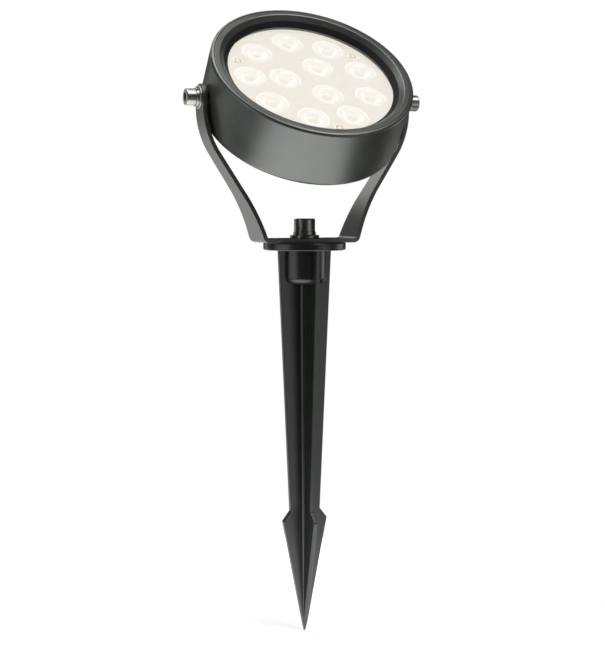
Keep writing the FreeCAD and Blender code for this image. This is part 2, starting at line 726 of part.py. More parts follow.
def heat_spreader():
    plate = disc_with_holes(BOARD_RADIUS, SHELF_TOP, SPREADER_FRONT)
    return plate.cut(lead_holes(SHELF_TOP, SPREADER_FRONT))


def board_screws():
    screws = []
    for x, y in round_the_beam(BOARD_SCREW_COUNT, BOARD_SCREW_RING, BOARD_SCREW_PHASE):
        screw = cap_screw(
            SMALL_SCREW_RADIUS, BOARD_SCREW_LENGTH, SMALL_HEAD_RADIUS, SMALL_HEAD_HEIGHT, SMALL_SOCKET_WIDTH
        )
        screw.translate(point(x, y, screw_seat()))
        screws.append(screw)
    return Part.makeCompound(screws)


# ---------------------------------------------------------------- driver and wiring

def driver_corners():
    reach_x = DRIVER_WIDTH / 2 - STANDOFF_INSET
    reach_y = DRIVER_DEPTH / 2 - STANDOFF_INSET
    return [(x, DRIVER_OFFSET + y) for x in (-reach_x, reach_x) for y in (-reach_y, reach_y)]


def board_lead_ends():
    """Where the leads of the LED board stand on the driver board."""
    height = DRIVER_OFFSET - DRIVER_DEPTH / 4
    return [(-LEAD_SPACING / 2, height), (LEAD_SPACING / 2, height)]


def driver_board():
    board = block(DRIVER_WIDTH, DRIVER_DEPTH, DRIVER_BACK, DRIVER_FRONT, 0, DRIVER_OFFSET)
    holes = [
        cylinder(SMALL_SCREW_RADIUS + PLAIN_FIT, DRIVER_BACK - CUT_PAST, DRIVER_FRONT + CUT_PAST, x, y)
        for x, y in driver_corners()
    ]
    return board.cut(holes)


def driver_choke():
    choke = ring(CHOKE_RADIUS, CHOKE_HOLE_RADIUS, DRIVER_FRONT, DRIVER_FRONT + CHOKE_HEIGHT)
    choke.translate(point(-DRIVER_WIDTH / 4, DRIVER_OFFSET, 0))
    return choke


def driver_capacitors():
    cans = []
    for k in (0, 1):
        x = DRIVER_WIDTH / 4 - CAPACITOR_INSET + CAPACITOR_SPACING * k
        start = point(x, DRIVER_OFFSET - CAPACITOR_LENGTH / 2, DRIVER_FRONT + CAPACITOR_RADIUS)
        cans.append(Part.makeCylinder(CAPACITOR_RADIUS, CAPACITOR_LENGTH, start, point(0, 1, 0)))
    return Part.makeCompound(cans)


def driver_chip():
    place = DRIVER_OFFSET + DRIVER_DEPTH / 4
    return block(CHIP_WIDTH, CHIP_DEPTH, DRIVER_FRONT, DRIVER_FRONT + CHIP_HEIGHT, 0, place)


def driver_screws():
    screws = []
    for x, y in driver_corners():
        head = cylinder(DRIVER_HEAD_RADIUS, DRIVER_FRONT, DRIVER_FRONT + DRIVER_HEAD_HEIGHT, x, y)
        shank = cylinder(SMALL_SCREW_RADIUS, DRIVER_FRONT - DRIVER_SCREW_LENGTH, DRIVER_FRONT, x, y)
        slot_floor = DRIVER_FRONT + DRIVER_HEAD_HEIGHT / 2
        slot_top = DRIVER_FRONT + DRIVER_HEAD_HEIGHT + CUT_PAST
        slot = block(4 * DRIVER_HEAD_RADIUS, DRIVER_SLOT_WIDTH, slot_floor, slot_top, x, y)
        screws.append(head.fuse(shank).cut(slot))
    return Part.makeCompound(screws)


def terminal_block():
    top = BACK_INSIDE + TERMINAL_HEIGHT
    body = block(TERMINAL_WIDTH, TERMINAL_DEPTH, BACK_INSIDE, top, 0, -TERMINAL_OFFSET)
    holes = []
    for x in (-TERMINAL_WIDTH / 4, TERMINAL_WIDTH / 4):
        for y in (-TERMINAL_OFFSET - TERMINAL_DEPTH / 4, -TERMINAL_OFFSET + TERMINAL_DEPTH / 4):
            holes.append(cylinder(TERMINAL_HOLE_RADIUS, top - TERMINAL_HOLE_DEPTH, top + CUT_PAST, x, y))
    return body.cut(holes)


def link_leads():
    """Up out of the terminal block, level round the cable's way in, and down to the driver board."""
    leads = []
    level = SHELF_TOP - 1.5 * LEAD_RADIUS
    bottom = BACK_INSIDE + TERMINAL_HEIGHT - TERMINAL_HOLE_DEPTH
    for side in (-1, 1):
        x = side * TERMINAL_WIDTH / 4
        start = -TERMINAL_OFFSET + TERMINAL_DEPTH / 4
        end = DRIVER_OFFSET - DRIVER_DEPTH / 2 + LEAD_BEND
        leads.append(lead([(x, start, bottom), (x, start, level), (x, end, level), (x, end, DRIVER_FRONT)]))
    return Part.makeCompound(leads)


def board_leads():
    """Straight up from the driver board, through the spreader and the pad, to the LED board."""
    return Part.makeCompound(
        [cylinder(LEAD_RADIUS, DRIVER_FRONT, BOARD_BACK, x, y) for x, y in board_lead_ends()]
    )


# ---------------------------------------------------------------- cable gland

def gland_body():
    tube = cylinder(GLAND_THREAD_RADIUS, GLAND_TAIL_END, BACK_INSIDE)
    hexagon_flange = hexagon(GLAND_WIDTH, GLAND_HEX_BACK, GLAND_HEX_FRONT)
    bore = cylinder(GLAND_BORE_RADIUS, GLAND_TAIL_END - CUT_PAST, BACK_INSIDE + CUT_PAST)
    seat = cylinder(SEAL_RADIUS + THREAD_FIT, GLAND_TAIL_END - CUT_PAST, SEAL_FRONT)
    return tube.fuse(hexagon_flange).cut([bore, seat])


def gland_o_ring():
    return ring(O_RING_RADIUS, GLAND_THREAD_RADIUS + THREAD_FIT, GLAND_HEX_FRONT, GLAND_FACE)


def gland_seal():
    return ring(SEAL_RADIUS, CABLE_RADIUS, SEAL_BACK, SEAL_FRONT)


def gland_nut():
    shoulder = NUT_FRONT - NUT_HEX_LENGTH
    body = hexagon(GLAND_WIDTH, shoulder, NUT_FRONT)
    nose = Part.makeCone(NUT_NOSE_RADIUS, GLAND_WIDTH / 2, shoulder - NUT_BACK, point(0, 0, NUT_BACK))
    thread = cylinder(GLAND_THREAD_RADIUS + THREAD_FIT, GLAND_TAIL_END - NUT_END_GAP, NUT_FRONT + CUT_PAST)
    seal_room = cylinder(SEAL_RADIUS + THREAD_FIT, SEAL_BACK, NUT_FRONT)
    mouth = cylinder(NUT_MOUTH_RADIUS, NUT_BACK - CUT_PAST, NUT_FRONT)
    return body.fuse(nose).cut([thread, seal_room, mouth])


# ---------------------------------------------------------------- tilt screws

def pivot_screw():
    screw = cap_screw(PIVOT_RADIUS, PIVOT_LENGTH, PIVOT_HEAD_RADIUS, PIVOT_HEAD_HEIGHT, PIVOT_SOCKET_WIDTH)
    screw.translate(point(0, 0, PIVOT_HEAD_INSIDE))
    return screw


def pivot_spring_washer():
    washer = spring_washer(PIVOT_SPRING_RADIUS, PIVOT_RADIUS + WASHER_FIT, PIVOT_SPRING_THICKNESS)
    washer.translate(point(0, 0, PIVOT_SPRING_INSIDE))
    return washer


def pivot_flat_washer():
    return ring(PIVOT_WASHER_RADIUS, PIVOT_RADIUS + WASHER_FIT, ARM_OUTSIDE, PIVOT_SPRING_INSIDE)


def pivot_spacer():
    return ring(SPACER_RADIUS, PIVOT_RADIUS + WASHER_FIT, SPOT_FACE, ARM_INSIDE)


# ---------------------------------------------------------------- all of it

def save(name, shape):
    shape.exportStep(os.path.join("parts", name + ".step"))


STANDING_PIECES = [spike, spike_insert, base_flat_washer, base_spring_washer, base_bolt, yoke_bracket]
HEAD_PIECES = [
    lamp_housing,
    retaining_ring,
    glass_gasket,
    glass_cover,
    lens_plate,
    led_emitters,
    led_board,
    thermal_pad,
    heat_spreader,
    board_screws,
    driver_board,
    driver_choke,
    driver_capacitors,
    driver_chip,
    driver_screws,
    terminal_block,
    link_leads,
    board_leads,
    gland_body,
    gland_o_ring,
    gland_seal,
    gland_nut,
]
SIDE_PIECES = [pivot_screw, pivot_spring_washer, pivot_flat_washer, pivot_spacer]


def main():
    os.makedirs("parts", exist_ok=True)
    for piece in STANDING_PIECES:
        save(piece.__name__, piece())
    for piece in HEAD_PIECES:
        save(piece.__name__, on_head(piece()))
    for piece in SIDE_PIECES:
        for word, side in (("left", -1), ("right", 1)):
            save(piece.__name__ + "_" + word, on_head(along_pivot(piece(), 0, side)))
    print("pivot height", round(PIVOT_HEIGHT, 2), "lens radius", round(LENS_RADIUS, 2))


main()
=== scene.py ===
import json
import math

import bmesh
import bpy
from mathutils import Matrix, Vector

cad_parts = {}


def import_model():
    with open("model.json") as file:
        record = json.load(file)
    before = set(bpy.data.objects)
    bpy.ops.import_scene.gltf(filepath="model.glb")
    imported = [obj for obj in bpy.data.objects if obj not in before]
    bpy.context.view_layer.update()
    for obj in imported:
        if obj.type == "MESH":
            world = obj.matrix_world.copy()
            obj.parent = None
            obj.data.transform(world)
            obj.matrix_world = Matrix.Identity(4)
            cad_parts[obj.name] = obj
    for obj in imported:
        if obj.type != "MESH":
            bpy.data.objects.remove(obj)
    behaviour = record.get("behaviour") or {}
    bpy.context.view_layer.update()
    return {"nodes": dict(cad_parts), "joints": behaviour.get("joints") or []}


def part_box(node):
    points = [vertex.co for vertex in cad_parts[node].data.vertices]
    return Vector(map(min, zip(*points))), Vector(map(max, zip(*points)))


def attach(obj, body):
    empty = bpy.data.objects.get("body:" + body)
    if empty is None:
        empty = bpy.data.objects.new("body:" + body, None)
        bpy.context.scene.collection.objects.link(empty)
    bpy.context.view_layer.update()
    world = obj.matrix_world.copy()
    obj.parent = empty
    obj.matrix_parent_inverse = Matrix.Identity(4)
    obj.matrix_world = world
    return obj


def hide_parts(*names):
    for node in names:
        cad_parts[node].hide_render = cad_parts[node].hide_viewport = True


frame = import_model()

# Looks of the garden spike spotlight. Pieces are modelled in millimetres, those of the head about the beam
# (+Z along it, from the tilt axis), and are shrunk to metres and stood in their place at the end.

# ---------------------------------------------------------------- sizes

MM = 0.001
FULL_TURN = 2 * math.pi


def half_width(node):
    """Half of a CAD node's size along X, in millimetres."""
    low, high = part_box(node)
    return (high.x - low.x) / 2 / MM


JOINTS = {joint["name"]: joint for joint in frame["joints"]}
PIVOT_HEIGHT = JOINTS["tilt"]["pos_m"][2] / MM
BEAM_ELEVATION = 48.5

# head, in millimetres along the beam from the tilt axis
HEAD_RADIUS = half_width("lamp_housing")
RIM_FRONT = 23.0
DRUM_BACK = -16.0
RIM_ROUND = 1.8
BACK_ROUND = 3.5
CAVITY_RADIUS = HEAD_RADIUS - 6.5
BACK_INSIDE = DRUM_BACK + 4.0
SHELF_TOP = -2.1
SHELF_RADIUS = 41.0
RING_RADIUS = half_width("retaining_ring")
RING_SEAT_RADIUS = RING_RADIUS + 0.2
RING_BACK = 20.2
RING_FRONT_OPENING = RING_RADIUS - 3.5
RING_BACK_OPENING = RING_FRONT_OPENING - 2.8
RING_OUTER_ROUND = 0.4
RING_FRONT_ROUND = 0.5
RING_BACK_ROUND = 0.2
GLASS_RADIUS = half_width("glass_cover")
GLASS_FRONT = 17.2
GLASS_BACK = 13.2
GLASS_VIEW_RADIUS = 51.0
GLASS_ROUND = 0.5
SEAL_BACK_ROUND = 0.3
SEAL_LIP_ROUND = 0.2
LEDGE = 11.7
SEAT_ROUND = 0.15
LEDGE_ROUND = 0.3
SHELF_ROUND = 0.5

# lenses
LENS_PLATE_RADIUS = half_width("lens_plate")
LENS_SKIRT_RADIUS = half_width("led_board")
LENS_PLATE_FRONT = 12.5
LENS_PLATE_BACK = 11.0
LENS_RADIUS = 10.0
OUTER_LENSES = 9
INNER_LENSES = 3
OUTER_LENS_RING = 37.7
INNER_LENS_RING = 15.8
LENS_PHASE = 17.0
LENS_GAP = 0.2
LENS_FOOT = 3.6
LENS_FOOT_RADIUS = 4.0
LENS_FOOT_ROUND = 0.2
LENS_HOLLOW_RADIUS = 2.8
LENS_HOLLOW_DEPTH = 3.0
LENS_RIM_DROP = 0.3
BAND_OUTSIDE = LENS_RADIUS - 1.2
BAND_OUTSIDE_RISE = 0.5
BAND_OUTSIDE_ROUND = 0.5
BAND_INSIDE = LENS_RADIUS - 4.2
BAND_INSIDE_RISE = 0.3
BAND_INSIDE_ROUND = 0.8
EYE_RADIUS = LENS_RADIUS - 6.4
EYE_DROP = 2.0
EYE_ROUND = 0.6
EYE_MIDDLE_DROP = 1.2
LENS_STEPS = 48
BOARD_FRONT = 3.0
SKIRT_WALL = 1.2
LENS_PLATE_ROUND = 0.4
SCREW_WELLS = 3
SCREW_WELL_RING = 45.0
SCREW_WELL_RADIUS = 2.95

# back of the head
BAR_PITCH = 8.0
BAR_THICKNESS = 2.4
BAR_HEIGHT = 8.0
BAR_FIELD_RADIUS = 52.5
BAR_SLANT = 5.0
BAR_ROOT = 1.0
BAR_EDGE_ROUND = 0.45
GLAND_ROOM_RADIUS = 14.5
GLAND_BOSS_RADIUS = 12.5
GLAND_BOSS_ROUND = 0.6
GLAND_FACE = DRUM_BACK - 3.0
GLAND_HEX_FRONT = GLAND_FACE - 1.2
GLAND_HEX_BACK = GLAND_HEX_FRONT - 5.0
GLAND_TAIL_END = GLAND_HEX_BACK - 6.0
GLAND_WIDTH = 15.0
GLAND_CORNER_HEIGHT = 0.8
GLAND_CORNER_DEPTH = 0.2
GLAND_CORNER_OVERRUN = 0.1
GLAND_THREAD_RADIUS = 6.2
GLAND_THREAD_CLEARANCE = 0.05
GLAND_BORE_RADIUS = 4.2
SEAL_RADIUS = 5.0
SEAL_FRONT = GLAND_HEX_BACK - 1.0
SEAL_BACK = SEAL_FRONT - 8.0
NUT_FRONT = GLAND_HEX_BACK - 0.2
NUT_SHOULDER = NUT_FRONT - 8.0
NUT_BACK = NUT_FRONT - 12.5
NUT_NOSE_RADIUS = 5.6
NUT_NOSE_ROUND = 0.8
NUT_NOSE_STEP = 0.3
NUT_NOSE_SINK = 1.5
NUT_MOUTH_RADIUS = 3.8
NUT_THREAD_END = GLAND_TAIL_END - 0.5

# screws and washers
ARM_OUTSIDE = half_width("yoke_bracket")
STRAP_THICKNESS = 2.5
PIVOT_RADIUS = 3.0
PIVOT_LENGTH = 16.0
PIVOT_HEAD_RADIUS = 5.0
PIVOT_HEAD_HEIGHT = 6.0
PIVOT_SOCKET_WIDTH = 5.0
PIVOT_WASHER_RADIUS = 7.0
PIVOT_WASHER_THICKNESS = 1.2
PIVOT_SPRING_RADIUS = 5.6
PIVOT_SPRING_THICKNESS = 1.6
SPOT_FACE = HEAD_RADIUS - 0.5
SPOT_FACE_RADIUS = 5.7
PIVOT_HOLE_FLOOR = 53.0
PIVOT_BOSS_FACE = 51.2
PIVOT_BOSS_RADIUS = 7.0
PIVOT_HOLE_CLEARANCE = 0.05
BOLT_RADIUS = 4.0
BOLT_LENGTH = 25.0
BOLT_HEAD_RADIUS = 6.5
BOLT_HEAD_HEIGHT = 8.0
BOLT_SOCKET_WIDTH = 6.0
BASE_WASHER_RADIUS = 9.0
BASE_WASHER_THICKNESS = 2.0
BASE_SPRING_RADIUS = 7.0
BASE_SPRING_THICKNESS = 2.1
WASHER_FIT = 0.2
WASHER_LOWER_ROUND = 0.2
WASHER_UPPER_ROUND = 0.35
WASHER_BORE_ROUND = 0.1
SPRING_OUTER_ROUND = 0.2
SPRING_INNER_ROUND = 0.15
SCREW_END_CHAMFER = 0.5
SCREW_HEAD_LOWER_ROUND = 0.25
SCREW_HEAD_UPPER_ROUND = 0.7
SOCKET_SHARE = 0.55
SPLIT_WIDTH = 1.0
SPLIT_SLANT = 25.0
BASE_SPLIT_TURN = -60.0

# bracket
FLANGE_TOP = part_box("spike")[1].z / MM
FOOT_TOP = FLANGE_TOP + STRAP_THICKNESS
FOOT_WIDTH = 28.0
ARM_WIDTH = 16.0
ARM_TAPER_HEIGHT = 34.5
FOOT_BEND_RADIUS = 4.2
FOOT_SLOPE = math.radians(17.5)
ARM_SLOPE = math.radians(32.8)
LOWER_ARC_RADIUS = 118.0
UPPER_ARC_RADIUS = HEAD_RADIUS - 11.0
ARM_FLAT_BELOW_PIVOT = 5.6
ARM_TOP_HALF_WIDTH = 0.4
STRAP_EDGE_ROUND = 0.35
STRAP_HOLE_CLEARANCE = 0.08

# spike
SPIKE_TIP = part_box("spike")[0].z / MM
FLANGE_RADIUS = half_width("spike")
FLANGE_ROUND = 0.8
BOSS_RADIUS = 13.2
BOSS_LENGTH = 20.0
BOSS_TAPER_LENGTH = 2.0
BOSS_ROUND = 3.4
FIN_TOP_RADIUS = 18.1
FIN_WAIST_RADIUS = 10.3
FIN_THICKNESS = 2.6
FIN_EDGE_ROUND = 0.4
CORE_TOP_RADIUS = 4.0
BOSS_END_RADIUS = CORE_TOP_RADIUS - 0.5
CORE_LOW_RADIUS = 2.06
CORE_LOW = SPIKE_TIP + 7.5
BARB_RADIUS = 15.3
BARB_HEIGHT = SPIKE_TIP + 71.4
BARB_SHOULDER = 6.2
BARB_ROUND = 0.6
POINT_RADIUS = 0.5
POINT_TAPER_HEIGHT = 5.0
FIN_TURN = 6.8
SPIKE_SOCKET_RADIUS = 6.05
SPIKE_SOCKET_FLOOR = -14.3

# roundness and reach
DRUM_STEPS = 192
SMALL_STEPS = 64
FOOT_BEND_STEPS = 10
LOWER_ARC_STEPS = 12
UPPER_ARC_STEPS = 16
ARM_TOP_STEPS = 9
ROUND_STEPS = 4
EDGE_STEPS = 3
MERGE_WITHIN = 0.001
SMOOTH_ANGLE = math.radians(32)
EDGE_ANGLE = math.radians(40)
OVERRUN = 1.0
NEAR = 1.0


# ---------------------------------------------------------------- modelling

def deselect():
    """Leaves nothing selected, so that the next operator acts on its own piece alone."""
    bpy.ops.object.select_all(action="DESELECT")


def select(piece, wanted):
    """In edit mode, selects only the vertices whose place is wanted."""
    mesh = bmesh.from_edit_mesh(piece.data)
    for part in (mesh.faces, mesh.edges, mesh.verts):
        for item in part:
            item.select_set(False)
    for vertex in mesh.verts:
        if wanted(vertex.co):
            vertex.select_set(True)
    bmesh.update_edit_mesh(piece.data)


def tidy_shell():
    """In edit mode, merges doubles and turns every face outwards."""
    bpy.ops.mesh.select_all(action="SELECT")
    bpy.ops.mesh.remove_doubles(threshold=MERGE_WITHIN)
    bpy.ops.mesh.normals_make_consistent(inside=False)
    bpy.ops.object.mode_set(mode="OBJECT")


def wire(name, corners, closed=False):
    """A chain of edges in the XZ plane, drawn on from one vertex. Corners are (x, z) or (x, z, rounding)."""
    deselect()
    bpy.ops.mesh.primitive_plane_add(size=1)
    piece = bpy.context.object
    piece.name = name
    bpy.ops.object.mode_set(mode="EDIT")
    bpy.ops.mesh.merge(type="CENTER")
    spots = [Vector((corner[0], 0, corner[1])) for corner in corners]
    bpy.ops.transform.translate(value=spots[0])
    here = spots[0]
    for spot in spots[1:] + spots[:1] * closed:
        bpy.ops.mesh.extrude_vertices_move(TRANSFORM_OT_translate={"value": spot - here})
        here = spot
    bpy.ops.mesh.select_all(action="SELECT")
    bpy.ops.mesh.remove_doubles(threshold=MERGE_WITHIN)
    for corner, spot in zip(corners, spots):
        if len(corner) > 2:
            select(piece, lambda co: (co - spot).length < MERGE_WITHIN)
            bpy.ops.mesh.bevel(offset=corner[2], segments=ROUND_STEPS, affect="VERTICES")
    bpy.ops.mesh.select_all(action="SELECT")
    return piece


def turned(name, corners, steps=SMALL_STEPS, closed=False):
    """A piece spun about Z from (radius, height) corners, which start and end on the axis unless closed."""
    piece = wire(name, corners, closed)
    bpy.ops.mesh.spin(steps=steps, angle=FULL_TURN, center=(0, 0, 0), axis=(0, 0, 1))
    tidy_shell()
    return piece


def plate(name, corners, thickness, edge_round):
    """A flat plate about the XZ plane, with its rim rounded."""
    piece = wire(name, corners, closed=True)
    bpy.ops.mesh.edge_face_add()
    bpy.ops.mesh.extrude_region_move(TRANSFORM_OT_translate={"value": (0, thickness, 0)})
    bpy.ops.mesh.select_all(action="SELECT")
    bpy.ops.transform.translate(value=(0, -thickness / 2, 0))
    tidy_shell()
    bevel_edges(piece, edge_round)
    return piece


def rod(name, radius, low, high, sides=SMALL_STEPS):
    """A round or many-sided bar along Z, used to cut others or to be shaped."""
    deselect()
    bpy.ops.mesh.primitive_cylinder_add(
        vertices=sides, radius=radius, depth=high - low, location=(0, 0, (low + high) / 2)
    )
    piece = bpy.context.object
    piece.name = name
    place(piece)
    return piece


def place(piece, turn=(0, 0, 0), shift=(0, 0, 0), size=1.0):
    """Turns, scales and moves a piece, and applies that to its mesh."""
    deselect()
    piece.select_set(True)
    bpy.context.view_layer.objects.active = piece
    piece.rotation_euler = [piece.rotation_euler[k] + math.radians(turn[k]) for k in range(3)]
    piece.location = piece.location + Vector(shift)
    piece.scale = (size, size, size)
    bpy.ops.object.transform_apply()


def modify(piece, kind, **settings):
    """Adds a modifier and applies it."""
    deselect()
    piece.select_set(True)
    bpy.context.view_layer.objects.active = piece
    modifier = piece.modifiers.new(kind.lower(), kind)
    for key, value in settings.items():
        setattr(modifier, key, value)
    bpy.ops.object.modifier_apply(modifier=modifier.name)


def bevel_edges(piece, width):
    """Rounds every sharp edge."""
    modify(piece, "BEVEL", width=width, segments=EDGE_STEPS, limit_method="ANGLE", angle_limit=EDGE_ANGLE)


def combine(piece, others, operation):
    """Joins the other shells to the piece as one solid, or cuts them out of it."""
    for other in others:
        modify(piece, "BOOLEAN", object=other, operation=operation, solver="EXACT")
        bpy.data.objects.remove(other)
    bpy.ops.object.mode_set(mode="EDIT")
    bpy.ops.mesh.select_all(action="SELECT")
    bpy.ops.mesh.remove_doubles(threshold=MERGE_WITHIN)
    bpy.ops.object.mode_set(mode="OBJECT")


def copy_of(piece, name):
    """Another piece with its own mesh."""
    other = piece.copy()
    other.data = piece.data.copy()
    other.name = name
    bpy.context.scene.collection.objects.link(other)
    return other


def join(pieces, name):
    """Makes one object of several shells."""
    deselect()
    for piece in pieces:
        piece.select_set(True)
    bpy.context.view_layer.objects.active = pieces[0]
    bpy.ops.object.join()
    pieces[0].name = name
    return pieces[0]


def complete(piece, material, body, slot, *nodes):
    """Shrinks a piece to metres, shades it so that its flat faces stay flat beside their rounded edges, and
    says what it moves with and stands for."""
    place(piece, size=MM)
    bpy.ops.object.shade_smooth_by_angle(angle=SMOOTH_ANGLE)
    modify(piece, "WEIGHTED_NORMAL", keep_sharp=True)
    piece.data.materials.clear()
    piece.data.materials.append(material)
    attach(piece, body)
    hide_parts(*nodes)


def on_head(piece):
    """Stands a piece of the head, modelled along +Z, at the beam's slope on the tilt axis."""
    place(piece, turn=(90 - BEAM_ELEVATION, 0, 0), shift=(0, 0, PIVOT_HEIGHT))


def at_angle(radius, degrees):
    """A place on a circle about Z."""
    turn = math.radians(degrees)
    return Vector((radius * math.cos(turn), radius * math.sin(turn), 0))


# ---------------------------------------------------------------- materials

def linear(hex_colour):
    """A colour socket's value, from an sRGB hex colour such as "3a3d3c"."""
    channels = [int(hex_colour[k:k + 2], 16) / 255 for k in (0, 2, 4)]
    return [c / 12.92 if c <= 0.04045 else ((c + 0.055) / 1.055) ** 2.4 for c in channels] + [1.0]


def add(tree, kind, inputs=None, **settings):
    """Adds a node. inputs gives, by name or number, a value or the output that feeds it."""
    made = tree.nodes.new(kind)
    for key, value in settings.items():
        setattr(made, key, value)
    for key, value in (inputs or {}).items():
        if isinstance(value, bpy.types.NodeSocket):
            tree.links.new(value, made.inputs[key])
        else:
            made.inputs[key].default_value = value
    return made


def grained(name, dark, light, roughness, grain_mm, depth_mm, patch_mm=20.0, spread=0.06, **sockets):
    """A surface with a fine grain in relief, and patches in which its colour and gloss drift a little."""
    material = bpy.data.materials.new(name)
    material.use_nodes = True
    tree = material.node_tree
    tree.nodes.clear()
    place_in_space = add(tree, "ShaderNodeTexCoord").outputs["Object"]
    grain = add(
        tree, "ShaderNodeTexNoise", {"Vector": place_in_space, "Scale": 1 / (grain_mm * MM), "Detail": 3.0}
    )
    patch = add(
        tree, "ShaderNodeTexNoise", {"Vector": place_in_space, "Scale": 1 / (patch_mm * MM), "Detail": 2.0}
    )
    colour = add(
        tree,
        "ShaderNodeMix",
        {"Factor": patch.outputs["Fac"], 6: linear(dark), 7: linear(light)},
        data_type="RGBA",
    )
    gloss = add(
        tree,
        "ShaderNodeMapRange",
        {"Value": patch.outputs["Fac"], "To Min": roughness - spread, "To Max": roughness + spread},
    )
    relief = add(
        tree,
        "ShaderNodeBump",
        {"Height": grain.outputs["Fac"], "Distance": depth_mm * MM, "Strength": 1.0},
    )
    shader = add(
        tree,
        "ShaderNodeBsdfPrincipled",
        {
            "Base Color": colour.outputs[2],
            "Roughness": gloss.outputs["Result"],
            "Normal": relief.outputs["Normal"],
            **sockets,
        },
    )
    add(tree, "ShaderNodeOutputMaterial", {"Surface": shader.outputs["BSDF"]})
    return material


# Graphite powder coat with metal flake, on cast or bent metal: a satin skin, pebbled by the baked grains.
# The real grain of about 0.3 mm is drawn at 0.6 mm, so that it shows.
POWDER_COAT = grained(
    "graphite powder coat",
    "70736f",
    "7c7f7b",
    0.38,
    0.6,
    0.012,
    spread=0.04,
    Metallic=0.85,
)

# Glossy greenish-black polypropylene, injection moulded: slow waves from shrinkage, with sharp reflections.
SPIKE_PLASTIC = grained(
    "moulded black polypropylene",
    "191d19",
    "232823",
    0.3,
    9.0,
    0.05,
    spread=0.04,
    IOR=1.49,
    **{"Specular IOR Level": 0.9},
)

# Bright A2 stainless steel, turned and tumbled: fine scuffs of about 0.15 mm, drawn at 0.4 mm.
STAINLESS = grained("tumbled stainless steel", "b7b5b0", "d2d0cb", 0.36, 0.4, 0.004, 3.0, Metallic=1.0)

# The same steel on the screws among the lenses, with the light that the LEDs spill over it painted on as a
# glow.
STAINLESS_WITH_PAINTED_GLOW = grained(
    "stainless steel with painted LED glow",
    "b7b5b0",
    "d2d0cb",
    0.22,
    0.4,
    0.004,
    3.0,
    Metallic=1.0,
    **{"Emission Color": linear("f4e6d4"), "Emission Strength": 0.7},
)

# Black silicone rubber, moulded: matt, with a dusty bloom.
RUBBER = grained("black silicone rubber", "0f0f0f", "191919", 0.6, 0.5, 0.01, IOR=1.41)

# Black nylon 6, injection moulded: an eggshell skin from the spark-eroded mould.
NYLON = grained("black nylon", "131313", "1c1c1c", 0.42, 0.5, 0.012, IOR=1.53)

# Natural nylon of the terminal block: milky and slightly waxy.
NATURAL_NYLON = grained("natural nylon", "d6d3c8", "e2dfd5", 0.4, 0.6, 0.01, IOR=1.53)

# Turned brass insert: warm metal with faint tool marks.
BRASS = grained("turned brass", "b08a45", "c9a35a", 0.28, 0.3, 0.006, 2.0, Metallic=1.0)

# Bare rolled aluminium sheet: pale and soft in its reflections.
ALUMINIUM = grained("rolled aluminium", "b9bbbd", "cbcdce", 0.35, 0.8, 0.004, 6.0, Metallic=1.0)

# White solder mask over a metal-core board: smooth ink with a slight orange peel.
WHITE_MASK = grained("white solder mask", "e6e6e1", "f0f0ec", 0.3, 1.5, 0.01, IOR=1.5)

# Green solder mask over woven glass laminate.
GREEN_MASK = grained("green solder mask", "0e4a22", "175c2c", 0.3, 0.7, 0.01, IOR=1.5)

# Black epoxy and ferrite of the driver's parts: matt and slightly gritty.
BLACK_EPOXY = grained("black epoxy", "151515", "202020", 0.55, 0.3, 0.01, IOR=1.55)

# Grey silicone gap pad: soft, matt and slightly tacky.
GAP_PAD = grained("grey silicone pad", "6a6d71", "787b7f", 0.7, 1.0, 0.02, IOR=1.41)

# Red silicone sleeve on the inner leads: smooth and semi-matt.
LEAD_SLEEVE = grained("red silicone sleeve", "7e1512", "96201b", 0.4, 0.8, 0.01, IOR=1.41)

# Yellow phosphor under clear silicone, lit.
PHOSPHOR = grained(
    "lit phosphor",
    "ffe9b0",
    "fff3cf",
    0.3,
    0.4,
    0.01,
    **{"Emission Color": linear("fff1d0"), "Emission Strength": 1.0},
)

# Toughened soda-lime glass, polished on both faces: clear, with a trace of green.
GLASS = grained(
    "toughened glass",
    "fafcfa",
    "fcfdfc",
    0.02,
    40.0,
    0.001,
    60.0,
    0.01,
    IOR=1.52,
    **{"Transmission Weight": 1.0},
)


# Colours of the painted glow on the lenses, from a lens's middle (0) out to the web between them (1).
GLOW_STOPS = [
    (0.0, "f6efe7"),
    (0.25, "efe6db"),
    (0.42, "fbf5ee"),
    (0.75, "fefaf6"),
    (0.92, "f6f0e8"),
    (1.0, "f3ebe2"),
]
GLOW_STRENGTH = 1.05
RIPPLE_MM = 5.0
RIPPLE_SHIFT = 0.16


